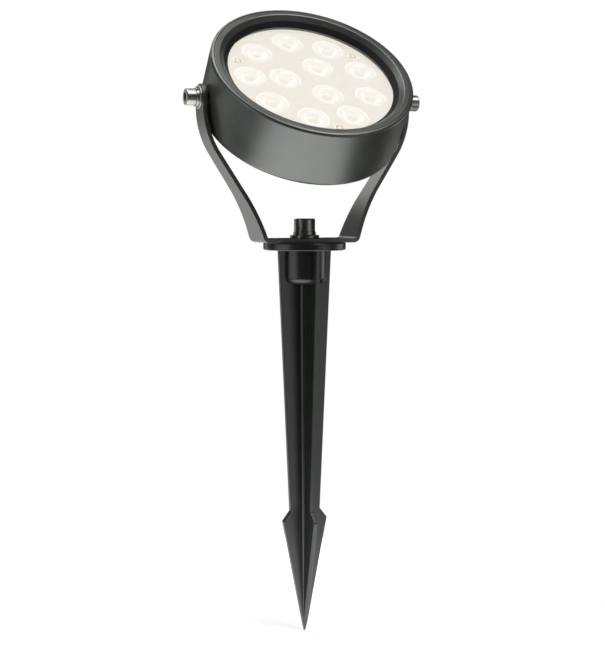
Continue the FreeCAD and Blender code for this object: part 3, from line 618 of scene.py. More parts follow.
def painted_glow_acrylic():
    """Clear moulded PMMA over lit LEDs, drawn opaque with the LEDs' light painted on as a glow. Each lens
    has a painted bright band round a dimmer eye, and the web between the lenses is painted a shade darker
    and browner. The attribute says how far out in its lens a place is, and a slow ripple of the moulding
    shifts that a little."""
    material = bpy.data.materials.new("acrylic lenses with painted glow")
    material.use_nodes = True
    tree = material.node_tree
    tree.nodes.clear()
    across = add(tree, "ShaderNodeAttribute", attribute_name="across").outputs["Fac"]
    place_in_space = add(tree, "ShaderNodeTexCoord").outputs["Object"]
    ripple = add(
        tree, "ShaderNodeTexNoise", {"Vector": place_in_space, "Scale": 1 / (RIPPLE_MM * MM), "Detail": 2.0}
    )
    drift = add(
        tree,
        "ShaderNodeMapRange",
        {"Value": ripple.outputs["Fac"], "To Min": -RIPPLE_SHIFT, "To Max": RIPPLE_SHIFT},
    )
    where = add(tree, "ShaderNodeMath", {0: across, 1: drift.outputs["Result"]}, operation="ADD")
    glow = add(tree, "ShaderNodeValToRGB", {"Fac": where.outputs["Value"]})
    ramp = glow.color_ramp.elements
    while len(ramp) < len(GLOW_STOPS):
        ramp.new(0.5)
    for element, (position, hex_colour) in zip(ramp, GLOW_STOPS):
        element.position = position
        element.color = linear(hex_colour)
    shader = add(
        tree,
        "ShaderNodeBsdfPrincipled",
        {
            "Base Color": linear("8c8883"),
            "Roughness": 0.12,
            "IOR": 1.49,
            "Emission Color": glow.outputs["Color"],
            "Emission Strength": GLOW_STRENGTH,
        },
    )
    add(tree, "ShaderNodeOutputMaterial", {"Surface": shader.outputs["BSDF"]})
    return material


PAINTED_GLOW_ACRYLIC = painted_glow_acrylic()


# ---------------------------------------------------------------- ground spike

def ground_spike():
    """Two crossed blades, a core and a boss under a round flange, moulded in one."""
    waist = BARB_HEIGHT + BARB_SHOULDER
    half = [
        (FIN_TOP_RADIUS, FLANGE_TOP / 2),
        (FIN_TOP_RADIUS, 0),
        (FIN_WAIST_RADIUS, waist),
        (BARB_RADIUS, BARB_HEIGHT, BARB_ROUND),
        (POINT_RADIUS, SPIKE_TIP),
    ]
    outline = half + [(-corner[0], *corner[1:]) for corner in reversed(half)]
    blade = plate("blade", outline, FIN_THICKNESS, FIN_EDGE_ROUND)
    bpy.ops.object.mode_set(mode="EDIT")
    bpy.ops.mesh.select_all(action="SELECT")
    bpy.ops.mesh.bisect(plane_co=(0, 0, SPIKE_TIP + POINT_TAPER_HEIGHT), plane_no=(0, 0, 1))
    select(blade, lambda co: co.z < SPIKE_TIP + NEAR)
    point_share = 2 * POINT_RADIUS / FIN_THICKNESS
    bpy.ops.transform.resize(value=(1, point_share, 1), center_override=(0, 0, SPIKE_TIP))
    bpy.ops.object.mode_set(mode="OBJECT")
    crossing = copy_of(blade, "crossing")
    place(crossing, turn=(0, 0, 90))
    core = turned(
        "core",
        [
            (0, FLANGE_TOP / 2),
            (CORE_TOP_RADIUS, FLANGE_TOP / 2),
            (CORE_LOW_RADIUS, CORE_LOW),
            (POINT_RADIUS, SPIKE_TIP),
            (0, SPIKE_TIP),
        ],
    )
    boss = turned(
        "boss",
        [
            (0, FLANGE_TOP / 2),
            (BOSS_RADIUS, FLANGE_TOP / 2),
            (BOSS_RADIUS, -BOSS_LENGTH, BOSS_ROUND),
            (BOSS_END_RADIUS, -BOSS_LENGTH - BOSS_TAPER_LENGTH),
            (0, -BOSS_LENGTH - BOSS_TAPER_LENGTH),
        ],
    )
    flange = turned(
        "flange",
        [
            (0, 0),
            (FLANGE_RADIUS, 0, FLANGE_ROUND),
            (FLANGE_RADIUS, FLANGE_TOP, FLANGE_ROUND),
            (0, FLANGE_TOP),
        ],
        DRUM_STEPS // 2,
    )
    combine(flange, [boss, core, blade, crossing], "UNION")
    socket = rod("socket", SPIKE_SOCKET_RADIUS, SPIKE_SOCKET_FLOOR, FLANGE_TOP + OVERRUN)
    combine(flange, [socket], "DIFFERENCE")
    flange.name = "ground_spike"
    place(flange, turn=(0, 0, FIN_TURN))
    complete(flange, SPIKE_PLASTIC, "base", "spike_plastic", "spike")


# ---------------------------------------------------------------- screws and washers

def cap_screw(name, radius, length, head_radius, head_height, socket_width):
    """A socket cap screw that points down, with the underside of its head at height 0."""
    screw = turned(
        name,
        [
            (0, -length),
            (radius - SCREW_END_CHAMFER, -length),
            (radius, SCREW_END_CHAMFER - length),
            (radius, 0),
            (head_radius, 0, SCREW_HEAD_LOWER_ROUND),
            (head_radius, head_height, SCREW_HEAD_UPPER_ROUND),
            (0, head_height),
        ],
    )
    floor = head_height * (1 - SOCKET_SHARE)
    socket = rod("socket", socket_width / math.sqrt(3), floor, head_height + OVERRUN, 6)
    combine(screw, [socket], "DIFFERENCE")
    return screw


def flat_washer(name, outside, inside, thickness):
    """A punched ring, rounder on the side where the punch went in."""
    return turned(
        name,
        [
            (inside, 0),
            (outside, 0, WASHER_LOWER_ROUND),
            (outside, thickness, WASHER_UPPER_ROUND),
            (inside, thickness, WASHER_BORE_ROUND),
        ],
        closed=True,
    )


def spring_washer(name, outside, inside, thickness):
    """A split ring of square wire."""
    washer = turned(
        name,
        [
            (inside, 0, SPRING_INNER_ROUND),
            (outside, 0, SPRING_OUTER_ROUND),
            (outside, thickness, SPRING_OUTER_ROUND),
            (inside, thickness, SPRING_INNER_ROUND),
        ],
        closed=True,
    )
    deselect()
    bpy.ops.mesh.primitive_cube_add(size=1, location=(outside, 0, thickness / 2))
    cut = bpy.context.object
    cut.scale = (2 * outside, SPLIT_WIDTH, 4 * thickness)
    cut.rotation_euler = (math.radians(SPLIT_SLANT), 0, 0)
    combine(washer, [cut], "DIFFERENCE")
    return washer


def base_hardware():
    """The screw and washers that clamp the bracket to the spike."""
    inside = BOLT_RADIUS + WASHER_FIT
    washer = flat_washer("base_washer", BASE_WASHER_RADIUS, inside, BASE_WASHER_THICKNESS)
    place(washer, shift=(0, 0, FOOT_TOP))
    complete(washer, STAINLESS, "base", "stainless", "base_flat_washer")
    spring_bottom = FOOT_TOP + BASE_WASHER_THICKNESS
    spring = spring_washer("base_spring", BASE_SPRING_RADIUS, inside, BASE_SPRING_THICKNESS)
    place(spring, turn=(0, 0, BASE_SPLIT_TURN), shift=(0, 0, spring_bottom))
    complete(spring, STAINLESS, "base", "stainless", "base_spring_washer")
    screw = cap_screw(
        "base_screw", BOLT_RADIUS, BOLT_LENGTH, BOLT_HEAD_RADIUS, BOLT_HEAD_HEIGHT, BOLT_SOCKET_WIDTH
    )
    place(screw, shift=(0, 0, spring_bottom + BASE_SPRING_THICKNESS))
    complete(screw, STAINLESS, "base", "stainless", "base_bolt")


def side_hardware():
    """The screw and washers that the head tilts on, once for each side."""
    spring_inside = ARM_OUTSIDE + PIVOT_WASHER_THICKNESS
    head_inside = spring_inside + PIVOT_SPRING_THICKNESS
    inside = PIVOT_RADIUS + WASHER_FIT
    for word, side in (("left", -1), ("right", 1)):
        washer = flat_washer("tilt_washer_" + word, PIVOT_WASHER_RADIUS, inside, PIVOT_WASHER_THICKNESS)
        spring = spring_washer("tilt_spring_" + word, PIVOT_SPRING_RADIUS, inside, PIVOT_SPRING_THICKNESS)
        screw = cap_screw(
            "tilt_screw_" + word,
            PIVOT_RADIUS,
            PIVOT_LENGTH,
            PIVOT_HEAD_RADIUS,
            PIVOT_HEAD_HEIGHT,
            PIVOT_SOCKET_WIDTH,
        )
        stack = (
            (washer, ARM_OUTSIDE, "pivot_flat_washer_"),
            (spring, spring_inside, "pivot_spring_washer_"),
            (screw, head_inside, "pivot_screw_"),
        )
        for piece, distance, node in stack:
            place(piece, turn=(0, 90 * side, 0), shift=(distance * side, 0, 0))
            on_head(piece)
            complete(piece, STAINLESS, "head", "stainless", node + word)


# ---------------------------------------------------------------- bracket

def arm_stations():
    """Places along the outside of the right arm, from the middle of the foot to the top."""
    bend_height = FLANGE_TOP + FOOT_BEND_RADIUS
    flat_end = PIVOT_HEIGHT - ARM_FLAT_BELOW_PIVOT
    lower_rise = LOWER_ARC_RADIUS * (math.sin(ARM_SLOPE) - math.sin(FOOT_SLOPE))
    upper_rise = UPPER_ARC_RADIUS * math.sin(ARM_SLOPE)
    bend_rise = FOOT_BEND_RADIUS * math.sin(FOOT_SLOPE)
    straight = (flat_end - upper_rise - lower_rise - bend_height + bend_rise) / math.cos(ARM_SLOPE)

    def outward(angle):
        return Vector((math.cos(angle), 0, -math.sin(angle)))

    def arc(centre, radius, first, last, steps):
        return [centre + outward(first + (last - first) * k / steps) * radius for k in range(steps + 1)]

    upper_centre = Vector((ARM_OUTSIDE - UPPER_ARC_RADIUS, 0, flat_end))
    upper_end = upper_centre + outward(ARM_SLOPE) * UPPER_ARC_RADIUS
    straight_end = upper_end - Vector((math.sin(ARM_SLOPE), 0, math.cos(ARM_SLOPE))) * straight
    lower_centre = straight_end + outward(ARM_SLOPE) * LOWER_ARC_RADIUS
    lower_end = lower_centre - outward(FOOT_SLOPE) * LOWER_ARC_RADIUS
    bend_centre = lower_end - outward(FOOT_SLOPE) * FOOT_BEND_RADIUS
    cap = []
    for k in range(ARM_TOP_STEPS + 1):
        rise = ARM_WIDTH / 2 * math.sin(math.pi / 2 * k / ARM_TOP_STEPS)
        cap.append(Vector((ARM_OUTSIDE, 0, PIVOT_HEIGHT + rise)))
    return (
        [Vector((0, 0, FLANGE_TOP))]
        + arc(bend_centre, FOOT_BEND_RADIUS, math.pi / 2, FOOT_SLOPE, FOOT_BEND_STEPS)
        + arc(lower_centre, -LOWER_ARC_RADIUS, FOOT_SLOPE, ARM_SLOPE, LOWER_ARC_STEPS)[1:]
        + [upper_end]
        + arc(upper_centre, UPPER_ARC_RADIUS, ARM_SLOPE, 0, UPPER_ARC_STEPS)[1:]
        + cap
    )


def strap_half_width(height):
    """Half the strap's width at a height: wide at the foot, tapering to the arm, round at the top."""
    foot_half = FOOT_WIDTH / 2
    arm_half = ARM_WIDTH / 2
    taper_low = FLANGE_TOP + FOOT_BEND_RADIUS
    taper_high = FOOT_TOP + ARM_TAPER_HEIGHT
    if height > PIVOT_HEIGHT:
        return max(math.sqrt(max(arm_half**2 - (height - PIVOT_HEIGHT) ** 2, 0)), ARM_TOP_HALF_WIDTH)
    share = min(max((height - taper_low) / (taper_high - taper_low), 0), 1)
    return foot_half + (arm_half - foot_half) * share


def bracket():
    """A strip drawn on along one arm, mirrored, and given its thickness."""
    stations = arm_stations()
    deselect()
    bpy.ops.mesh.primitive_plane_add(size=FOOT_WIDTH, location=(0, 0, FLANGE_TOP))
    strap = bpy.context.object
    strap.name = "bracket"
    place(strap)
    bpy.ops.object.mode_set(mode="EDIT")
    select(strap, lambda co: co.x < 0)
    bpy.ops.mesh.delete(type="VERT")
    bpy.ops.mesh.select_all(action="SELECT")
    bpy.ops.transform.translate(value=(-FOOT_WIDTH / 2, 0, 0))
    half = FOOT_WIDTH / 2
    for here, there in zip(stations, stations[1:]):
        bpy.ops.mesh.extrude_region_move(TRANSFORM_OT_translate={"value": there - here})
        narrower = strap_half_width(there.z)
        bpy.ops.transform.resize(value=(1, narrower / half, 1), center_override=there)
        half = narrower
    bpy.ops.object.mode_set(mode="OBJECT")
    modify(strap, "MIRROR", use_axis=(True, False, False), merge_threshold=MERGE_WITHIN)
    bpy.ops.object.mode_set(mode="EDIT")
    tidy_shell()
    modify(strap, "SOLIDIFY", thickness=STRAP_THICKNESS, offset=-1, use_even_offset=True)
    bevel_edges(strap, STRAP_EDGE_ROUND)
    pivot_hole = rod("pivot_hole", PIVOT_RADIUS + STRAP_HOLE_CLEARANCE, -2 * HEAD_RADIUS, 2 * HEAD_RADIUS)
    place(pivot_hole, turn=(0, 90, 0), shift=(0, 0, PIVOT_HEIGHT))
    screw_hole = rod("screw_hole", BOLT_RADIUS + STRAP_HOLE_CLEARANCE, 0, 2 * FOOT_TOP)
    combine(strap, [pivot_hole, screw_hole], "DIFFERENCE")
    complete(strap, POWDER_COAT, "yoke", "coated_steel", "yoke_bracket")


# ---------------------------------------------------------------- drum

def cooling_bar(x, low, high, low_slant, high_slant):
    """One cooling fin, which stands back from the drum and leans in at its ends."""
    top = DRUM_BACK - BAR_HEIGHT
    root = DRUM_BACK + BAR_ROOT
    deselect()
    bpy.ops.mesh.primitive_cube_add(size=1, location=(x, (low + high) / 2, (top + root) / 2))
    bar = bpy.context.object
    bar.scale = (BAR_THICKNESS, high - low, root - top)
    bpy.ops.object.transform_apply()
    bpy.ops.object.mode_set(mode="EDIT")
    select(bar, lambda co: co.z < top + NEAR and co.y > high - NEAR)
    bpy.ops.transform.translate(value=(0, -high_slant, 0))
    select(bar, lambda co: co.z < top + NEAR and co.y < low + NEAR)
    bpy.ops.transform.translate(value=(0, low_slant, 0))
    bpy.ops.object.mode_set(mode="OBJECT")
    bevel_edges(bar, BAR_EDGE_ROUND)
    return bar


def cooling_bars():
    """All the fins, which end on a circle and leave room round the gland."""
    bars = []
    count = int(BAR_FIELD_RADIUS / BAR_PITCH)
    for k in range(-count, count + 1):
        x = BAR_PITCH * k
        reach = math.sqrt(BAR_FIELD_RADIUS**2 - x**2)
        top_reach = math.sqrt(max((BAR_FIELD_RADIUS - BAR_SLANT) ** 2 - x**2, BAR_SLANT**2))
        slant = reach - top_reach
        if abs(x) < GLAND_ROOM_RADIUS:
            room = math.sqrt(GLAND_ROOM_RADIUS**2 - x**2)
            bars.append(cooling_bar(x, room, reach, 0, slant))
            bars.append(cooling_bar(x, -reach, -room, slant, 0))
        else:
            bars.append(cooling_bar(x, -reach, reach, slant, slant))
    return join(bars, "cooling_bars")


def drum():
    """The cast head: a drum with a shelf inside, fins and a gland boss behind, and bosses for its screws."""
    shell = turned(
        "drum",
        [
            (0, DRUM_BACK),
            (HEAD_RADIUS, DRUM_BACK, BACK_ROUND),
            (HEAD_RADIUS, RIM_FRONT, RIM_ROUND),
            (RING_SEAT_RADIUS, RIM_FRONT, SEAT_ROUND),
            (RING_SEAT_RADIUS, LEDGE),
            (CAVITY_RADIUS, LEDGE, LEDGE_ROUND),
            (CAVITY_RADIUS, SHELF_TOP),
            (SHELF_RADIUS, SHELF_TOP, SHELF_ROUND),
            (SHELF_RADIUS, BACK_INSIDE),
            (0, BACK_INSIDE),
        ],
        DRUM_STEPS,
    )
    boss = turned(
        "gland_boss",
        [
            (0, GLAND_FACE),
            (GLAND_BOSS_RADIUS, GLAND_FACE, GLAND_BOSS_ROUND),
            (GLAND_BOSS_RADIUS, DRUM_BACK + BAR_ROOT),
            (0, DRUM_BACK + BAR_ROOT),
        ],
    )
    added = [cooling_bars(), boss]
    cuts = [rod("gland_hole", GLAND_THREAD_RADIUS, GLAND_FACE - OVERRUN, BACK_INSIDE + OVERRUN)]
    for side in (-1, 1):
        pivot_boss = rod("pivot_boss", PIVOT_BOSS_RADIUS, PIVOT_BOSS_FACE, CAVITY_RADIUS + OVERRUN)
        place(pivot_boss, turn=(0, 90 * side, 0))
        added.append(pivot_boss)
        hole_radius = PIVOT_RADIUS + PIVOT_HOLE_CLEARANCE
        hole = rod("pivot_hole", hole_radius, PIVOT_HOLE_FLOOR, HEAD_RADIUS + OVERRUN)
        place(hole, turn=(0, 90 * side, 0))
        spot_face = rod("spot_face", SPOT_FACE_RADIUS, SPOT_FACE, HEAD_RADIUS + OVERRUN)
        place(spot_face, turn=(0, 90 * side, 0))
        cuts += [hole, spot_face]
    combine(shell, added, "UNION")
    combine(shell, cuts, "DIFFERENCE")
    on_head(shell)
    complete(shell, POWDER_COAT, "head", "coated_aluminium", "lamp_housing")


# ---------------------------------------------------------------- ring, seal and glass

def rim_ring():
    """The ring that holds the glass, flush with the rim and bevelled inwards."""
    ring = turned(
        "rim_ring",
        [
            (RING_RADIUS, RING_BACK),
            (RING_RADIUS, RIM_FRONT, RING_OUTER_ROUND),
            (RING_FRONT_OPENING, RIM_FRONT, RING_FRONT_ROUND),
            (RING_BACK_OPENING, RING_BACK, RING_BACK_ROUND),
        ],
        DRUM_STEPS,
        closed=True,
    )
    on_head(ring)
    complete(ring, POWDER_COAT, "head", "coated_aluminium", "retaining_ring")


def glass_seal():
    """The rubber channel round the edge of the glass."""
    seal = turned(
        "glass_seal",
        [
            (RING_RADIUS, LEDGE),
            (RING_RADIUS, RING_BACK),
            (RING_BACK_OPENING, RING_BACK, SEAL_BACK_ROUND),
            (GLASS_VIEW_RADIUS, GLASS_FRONT, SEAL_LIP_ROUND),
            (GLASS_RADIUS, GLASS_FRONT),
            (GLASS_RADIUS, GLASS_BACK),
            (CAVITY_RADIUS, GLASS_BACK),
            (CAVITY_RADIUS, LEDGE),
        ],
        DRUM_STEPS,
        closed=True,
    )
    on_head(seal)
    complete(seal, RUBBER, "head", "black_rubber", "glass_gasket")


def front_glass():
    """The flat pane, with its edges ground round."""
    glass = turned(
        "front_glass",
        [
            (0, GLASS_BACK),
            (GLASS_RADIUS, GLASS_BACK, GLASS_ROUND),
            (GLASS_RADIUS, GLASS_FRONT, GLASS_ROUND),
            (0, GLASS_FRONT),
        ],
        DRUM_STEPS,
    )
    on_head(glass)
    complete(glass, GLASS, "head", "front_glass", "glass_cover")


# ---------------------------------------------------------------- lenses

def lens():
    """One lens: a cup that widens from its LED to a raised band round a shallow eye."""
    edge = LENS_RADIUS - LENS_GAP
    hollow_top = LENS_FOOT + LENS_HOLLOW_DEPTH
    front = LENS_PLATE_FRONT
    return turned(
        "lens",
        [
            (0, hollow_top),
            (LENS_HOLLOW_RADIUS, hollow_top),
            (LENS_HOLLOW_RADIUS, LENS_FOOT),
            (LENS_FOOT_RADIUS, LENS_FOOT, LENS_FOOT_ROUND),
            (edge, LENS_PLATE_BACK),
            (edge, front - LENS_RIM_DROP),
            (BAND_OUTSIDE, front + BAND_OUTSIDE_RISE, BAND_OUTSIDE_ROUND),
            (BAND_INSIDE, front + BAND_INSIDE_RISE, BAND_INSIDE_ROUND),
            (EYE_RADIUS, front - EYE_DROP, EYE_ROUND),
            (0, front - EYE_MIDDLE_DROP),
        ],
        LENS_STEPS,
    )


def set_across(piece, is_lens):
    """Writes how far out in its lens each vertex lies, as a share of that lens's radius, or 1 on the web."""
    values = piece.data.attributes.new("across", "FLOAT", "POINT")
    for vertex, value in zip(piece.data.vertices, values.data):
        value.value = math.hypot(vertex.co.x, vertex.co.y) / LENS_RADIUS if is_lens else 1.0


def lens_disc():
    """The skirted plate between the lenses, with their holes, the lenses and the wells of its screws."""
    places = [at_angle(OUTER_LENS_RING, LENS_PHASE + 360 / OUTER_LENSES * k) for k in range(OUTER_LENSES)]
    inner_phase = LENS_PHASE + 360 / OUTER_LENSES
    places += [at_angle(INNER_LENS_RING, inner_phase + 360 / INNER_LENSES * k) for k in range(INNER_LENSES)]
    disc = turned(
        "lens_disc",
        [
            (0, LENS_PLATE_BACK),
            (LENS_SKIRT_RADIUS - SKIRT_WALL, LENS_PLATE_BACK),
            (LENS_SKIRT_RADIUS - SKIRT_WALL, BOARD_FRONT),
            (LENS_SKIRT_RADIUS, BOARD_FRONT),
            (LENS_SKIRT_RADIUS, LENS_PLATE_BACK),
            (LENS_PLATE_RADIUS, LENS_PLATE_BACK),
            (LENS_PLATE_RADIUS, LENS_PLATE_FRONT, LENS_PLATE_ROUND),
            (0, LENS_PLATE_FRONT),
        ],
        DRUM_STEPS,
    )
    cuts = []
    cut_low = LENS_PLATE_BACK - OVERRUN
    cut_high = LENS_PLATE_FRONT + OVERRUN
    for middle in places:
        cuts.append(rod("lens_hole", LENS_RADIUS - LENS_GAP, cut_low, cut_high))
        place(cuts[-1], shift=middle)
    for k in range(SCREW_WELLS):
        well = at_angle(SCREW_WELL_RING, LENS_PHASE + 180 / OUTER_LENSES + 360 / SCREW_WELLS * k)
        cuts.append(rod("well", SCREW_WELL_RADIUS, cut_low, cut_high))
        place(cuts[-1], shift=well)
    combine(disc, [join(cuts, "cuts")], "DIFFERENCE")
    set_across(disc, is_lens=False)
    first_lens = lens()
    set_across(first_lens, is_lens=True)
    lenses = [copy_of(first_lens, "lens") for _ in places]
    bpy.data.objects.remove(first_lens)
    for piece, middle in zip(lenses, places):
        place(piece, shift=middle)
    disc = join([disc] + lenses, "lens_disc")
    on_head(disc)
    complete(disc, PAINTED_GLOW_ACRYLIC, "head", "lens_acrylic", "lens_plate")


# ---------------------------------------------------------------- cable gland

def hexagon_nut(name, low, high):
    """A six-sided nut whose corners are turned down at both ends."""
    corner = GLAND_WIDTH / math.sqrt(3)
    end = GLAND_WIDTH / 2 - GLAND_CORNER_DEPTH
    widest = corner + GLAND_CORNER_OVERRUN
    nut = turned(
        name,
        [
            (0, low),
            (end, low),
            (widest, low + GLAND_CORNER_HEIGHT),
            (widest, high - GLAND_CORNER_HEIGHT),
            (end, high),
            (0, high),
        ],
    )
    combine(nut, [rod("flats", corner, low - OVERRUN, high + OVERRUN, 6)], "INTERSECT")
    return nut


def gland_hexagon():
    """The fixed part of the gland, screwed into the drum."""
    body = hexagon_nut("gland_hexagon", GLAND_HEX_BACK, GLAND_HEX_FRONT)
    tube_radius = GLAND_THREAD_RADIUS - GLAND_THREAD_CLEARANCE
    combine(body, [rod("tube", tube_radius, GLAND_TAIL_END, BACK_INSIDE)], "UNION")
    bore = rod("bore", GLAND_BORE_RADIUS, GLAND_TAIL_END - OVERRUN, BACK_INSIDE + OVERRUN)
    seat = rod("seat", SEAL_RADIUS, GLAND_TAIL_END - OVERRUN, SEAL_FRONT)
    combine(body, [bore, seat], "DIFFERENCE")
    on_head(body)
    complete(body, NYLON, "head", "gland_nylon", "gland_body")


def gland_cap():
    """The nut that squeezes the seal, with a domed nose."""
    cap = hexagon_nut("gland_cap", NUT_SHOULDER, NUT_FRONT)
    nose_widest = GLAND_WIDTH / 2 - NUT_NOSE_STEP
    nose_top = NUT_SHOULDER + NUT_NOSE_SINK
    nose = turned(
        "nose",
        [
            (0, NUT_BACK),
            (NUT_NOSE_RADIUS, NUT_BACK, NUT_NOSE_ROUND),
            (nose_widest, NUT_SHOULDER, NUT_NOSE_ROUND),
            (nose_widest, nose_top),
            (0, nose_top),
        ],
    )
    combine(cap, [nose], "UNION")
    thread = rod("thread", GLAND_THREAD_RADIUS, NUT_THREAD_END, NUT_FRONT + OVERRUN)
    seal_room = rod("seal_room", SEAL_RADIUS, SEAL_BACK, NUT_FRONT)
    mouth = rod("mouth", NUT_MOUTH_RADIUS, NUT_BACK - OVERRUN, NUT_FRONT)
    combine(cap, [thread, seal_room, mouth], "DIFFERENCE")
    on_head(cap)
    complete(cap, NYLON, "head", "gland_nylon", "gland_nut")


# ---------------------------------------------------------------- CAD nodes that stay

CAD_FINISHES = {
    "spike_insert": BRASS,
    "led_emitters": PHOSPHOR,
    "led_board": WHITE_MASK,
    "thermal_pad": GAP_PAD,
    "heat_spreader": ALUMINIUM,
    "board_screws": STAINLESS_WITH_PAINTED_GLOW,
    "driver_board": GREEN_MASK,
    "driver_choke": BLACK_EPOXY,
    "driver_capacitors": ALUMINIUM,
    "driver_chip": BLACK_EPOXY,
    "driver_screws": STAINLESS,
    "terminal_block": NATURAL_NYLON,
    "link_leads": LEAD_SLEEVE,
    "board_leads": LEAD_SLEEVE,
    "gland_o_ring": RUBBER,
    "gland_seal": RUBBER,
    "pivot_spacer_left": NYLON,
    "pivot_spacer_right": NYLON,
}


def finish_cad_nodes():
    """Gives each CAD node that stays its own material."""
    for node, material in CAD_FINISHES.items():
        for material_slot in frame["nodes"][node].material_slots:
            material_slot.material = material


# ---------------------------------------------------------------- stage, light and camera

# metres from here on, as lamps and walls are placed in the room
FLOOR_GAP = 0.0003
FLOOR_HEIGHT = SPIKE_TIP * MM - FLOOR_GAP
FLOOR_RADIUS = 0.27
FLOOR_STEPS = 128
FLOOR_SHIFT = -0.07
FLOOR_THICKNESS = 0.01
SHADE_RADIUS = 0.06
FADE_RADIUS = 0.2
SHADE_STRENGTH = 0.34
STUDIO_LIGHT = 0.45
WALL_COLOUR = "262626"
ROOM_SIZE = 4.0
ROOM_HEIGHT = 2.15
STUDIO_FLOOR = -0.6
FLAG_LOW = -0.21
CLOTH_FRONT = 0.3
CLOTH_BACK = 1.2
CLOTH_SIDE = 0.23
ORIGIN = (0, 0, 0)
NEAR_THE_FOOT = (0, 0, 0.05)
ON_THE_SPIKE = (0, 0, -0.1)
CAMERA_PLACE = Vector((-0.29185, -0.76907, 0.02851))
CAMERA_LOOK = Vector((0.35179, 0.93121, -0.09528))
CAMERA_LENS_MM = 72.56
CAMERA_SENSOR_MM = 36.0


def seen_ray(tree):
    """1 for rays that see the background: straight, in a reflection or through glass."""
    rays = add(tree, "ShaderNodeLightPath")
    total = rays.outputs["Is Camera Ray"]
    for kind in ("Is Glossy Ray", "Is Transmission Ray"):
        either = add(tree, "ShaderNodeMath", {0: total, 1: rays.outputs[kind]}, operation="MAXIMUM")
        total = either.outputs["Value"]
    return total


def floor():
    """A round white table top under the point of the spike. Its shadow shows near the point, and towards its
    rim it fades into the white background."""
    deselect()
    bpy.ops.mesh.primitive_cylinder_add(
        vertices=FLOOR_STEPS,
        radius=FLOOR_RADIUS,
        depth=FLOOR_THICKNESS,
        location=(FLOOR_SHIFT, 0, FLOOR_HEIGHT - FLOOR_THICKNESS / 2),
    )
    ground = bpy.context.object
    ground.name = "floor"
    material = bpy.data.materials.new("pale floor")
    material.use_nodes = True
    tree = material.node_tree
    tree.nodes.clear()
    place_in_space = add(tree, "ShaderNodeTexCoord").outputs["Object"]
    tip = (-FLOOR_SHIFT, 0, FLOOR_THICKNESS / 2)
    distance = add(tree, "ShaderNodeVectorMath", {0: place_in_space, 1: tip}, operation="DISTANCE")
    fade = add(
        tree,
        "ShaderNodeMapRange",
        {
            "Value": distance.outputs["Value"],
            "From Min": SHADE_RADIUS,
            "From Max": FADE_RADIUS,
            "To Min": SHADE_STRENGTH,
            "To Max": 1.0,
        },
    )
    straight = add(tree, "ShaderNodeLightPath").outputs["Is Camera Ray"]
    strength = add(
        tree, "ShaderNodeMapRange", {"Value": straight, "To Min": 1.0, "To Max": fade.outputs["Result"]}
    )
    seen = add(
        tree, "ShaderNodeMath", {0: seen_ray(tree), 1: strength.outputs["Result"]}, operation="MULTIPLY"
    )
    shader = add(
        tree,
        "ShaderNodeBsdfPrincipled",
        {
            "Base Color": linear("f2f2f2"),
            "Roughness": 0.9,
            "Emission Color": linear("ffffff"),
            "Emission Strength": seen.outputs["Value"],
        },
    )
    add(tree, "ShaderNodeOutputMaterial", {"Surface": shader.outputs["BSDF"]})
    ground.data.materials.append(material)


def room():
    """The dark walls, ceiling and cloth round the table, which the camera doesn't see. Low at the back it is
    open, so that metal shows the white background there."""
    material = bpy.data.materials.new("dark studio wall")
    material.use_nodes = True
    cloth = material.node_tree.nodes["Principled BSDF"].inputs
    cloth["Base Color"].default_value = linear(WALL_COLOUR)
    cloth["Roughness"].default_value = 1.0
    half = ROOM_SIZE / 2
    low = STUDIO_FLOOR
    middle = low + ROOM_HEIGHT / 2
    top = low + ROOM_HEIGHT
    cloth_depth = half - CLOTH_FRONT
    side_cloth_depth = CLOTH_BACK + CLOTH_FRONT
    side_cloth_width = half - CLOTH_SIDE
    side_cloth_x = (half + CLOTH_SIDE) / 2
    side_cloth_y = (CLOTH_BACK - CLOTH_FRONT) / 2
    facing_y = (90, 0, 0)
    facing_x = (90, 0, 90)
    level = (0, 0, 0)
    walls = (
        ("front_wall", (0, -half, middle), facing_y, ROOM_SIZE, ROOM_HEIGHT),
        ("left_wall", (-half, 0, middle), facing_x, ROOM_SIZE, ROOM_HEIGHT),
        ("right_wall", (half, 0, middle), facing_x, ROOM_SIZE, ROOM_HEIGHT),
        ("back_flag", (0, half, (top + FLAG_LOW) / 2), facing_y, ROOM_SIZE, top - FLAG_LOW),
        ("ceiling", (0, 0, top), level, ROOM_SIZE, ROOM_SIZE),
        ("front_cloth", (0, -CLOTH_FRONT - cloth_depth / 2, low), level, ROOM_SIZE, cloth_depth),
        ("left_cloth", (-side_cloth_x, side_cloth_y, low), level, side_cloth_width, side_cloth_depth),
        ("right_cloth", (side_cloth_x, side_cloth_y, low), level, side_cloth_width, side_cloth_depth),
    )
    for name, centre, turn, width, height in walls:
        deselect()
        bpy.ops.mesh.primitive_plane_add(
            size=1, location=centre, rotation=[math.radians(angle) for angle in turn]
        )
        wall = bpy.context.object
        wall.name = name
        wall.scale = (width, height, 1)
        wall.visible_camera = False
        wall.visible_diffuse = False
        wall.data.materials.append(material)


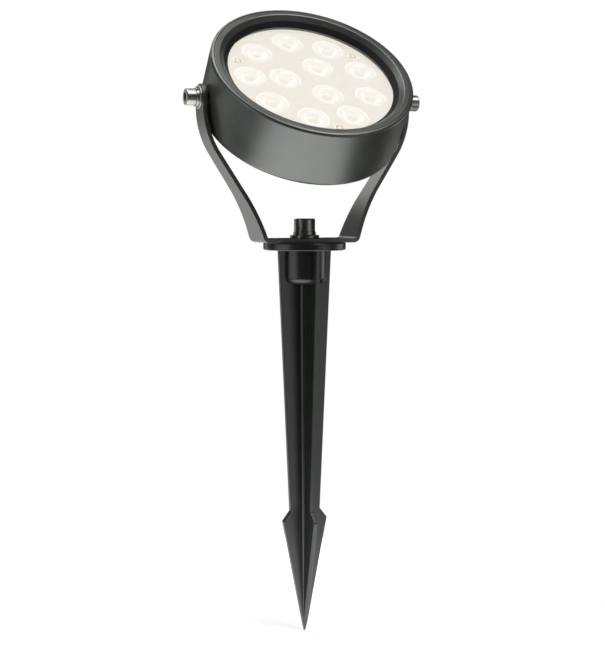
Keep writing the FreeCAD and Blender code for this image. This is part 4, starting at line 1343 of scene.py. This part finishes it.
def world():
    """A white background, which lights the object less than it shows."""
    surroundings = bpy.data.worlds.new("studio")
    bpy.context.scene.world = surroundings
    surroundings.use_nodes = True
    tree = surroundings.node_tree
    tree.nodes.clear()
    strength = add(
        tree, "ShaderNodeMapRange", {"Value": seen_ray(tree), "To Min": STUDIO_LIGHT, "To Max": 1.0}
    )
    background = add(
        tree, "ShaderNodeBackground", {"Color": linear("ffffff"), "Strength": strength.outputs["Result"]}
    )
    add(tree, "ShaderNodeOutputWorld", {"Surface": background.outputs["Background"]})


def soft_light(name, place_m, target_m, size_m, watts):
    """A square softbox that faces its target."""
    lamp = bpy.data.lights.new(name, "AREA")
    lamp.size = size_m
    lamp.energy = watts
    light = bpy.data.objects.new(name, lamp)
    bpy.context.scene.collection.objects.link(light)
    light.location = place_m
    light.rotation_euler = (Vector(target_m) - Vector(place_m)).to_track_quat("-Z", "Y").to_euler()


def camera():
    """The photo's point of view, solved from its ellipses, edges and screw ends."""
    view = bpy.data.cameras.new("camera")
    view.lens = CAMERA_LENS_MM
    view.sensor_width = CAMERA_SENSOR_MM
    seat = bpy.data.objects.new("camera", view)
    bpy.context.scene.collection.objects.link(seat)
    seat.location = CAMERA_PLACE
    seat.rotation_euler = CAMERA_LOOK.to_track_quat("-Z", "Y").to_euler()
    bpy.context.scene.camera = seat


camera()
world()
floor()
room()
soft_light("overhead", (-0.2, 0.2, 1.1), (-0.2, 0.2, 0), size_m=0.7, watts=4.2)
soft_light("high_back", (-0.2, 1.8, 1.05), NEAR_THE_FOOT, size_m=0.8, watts=4.4)
soft_light("upper_right", (0.34, -0.52, 1.1), NEAR_THE_FOOT, size_m=0.6, watts=5.5)
soft_light("left", (-1.2, -0.1, 0), ORIGIN, size_m=1.0, watts=2.5)
soft_light("right", (1.2, 0.15, -0.05), ORIGIN, size_m=0.6, watts=1.2)
soft_light("back_left", (-0.75, 1.75, 0.05), NEAR_THE_FOOT, size_m=0.7, watts=0.9)
soft_light("right_front", (0.7, -1.0, -0.27), ON_THE_SPIKE, size_m=0.64, watts=0.9)
ground_spike()
base_hardware()
bracket()
drum()
rim_ring()
glass_seal()
front_glass()
lens_disc()
side_hardware()
gland_hexagon()
gland_cap()
finish_cad_nodes()
bpy.context.scene.view_settings.view_transform = "Standard"
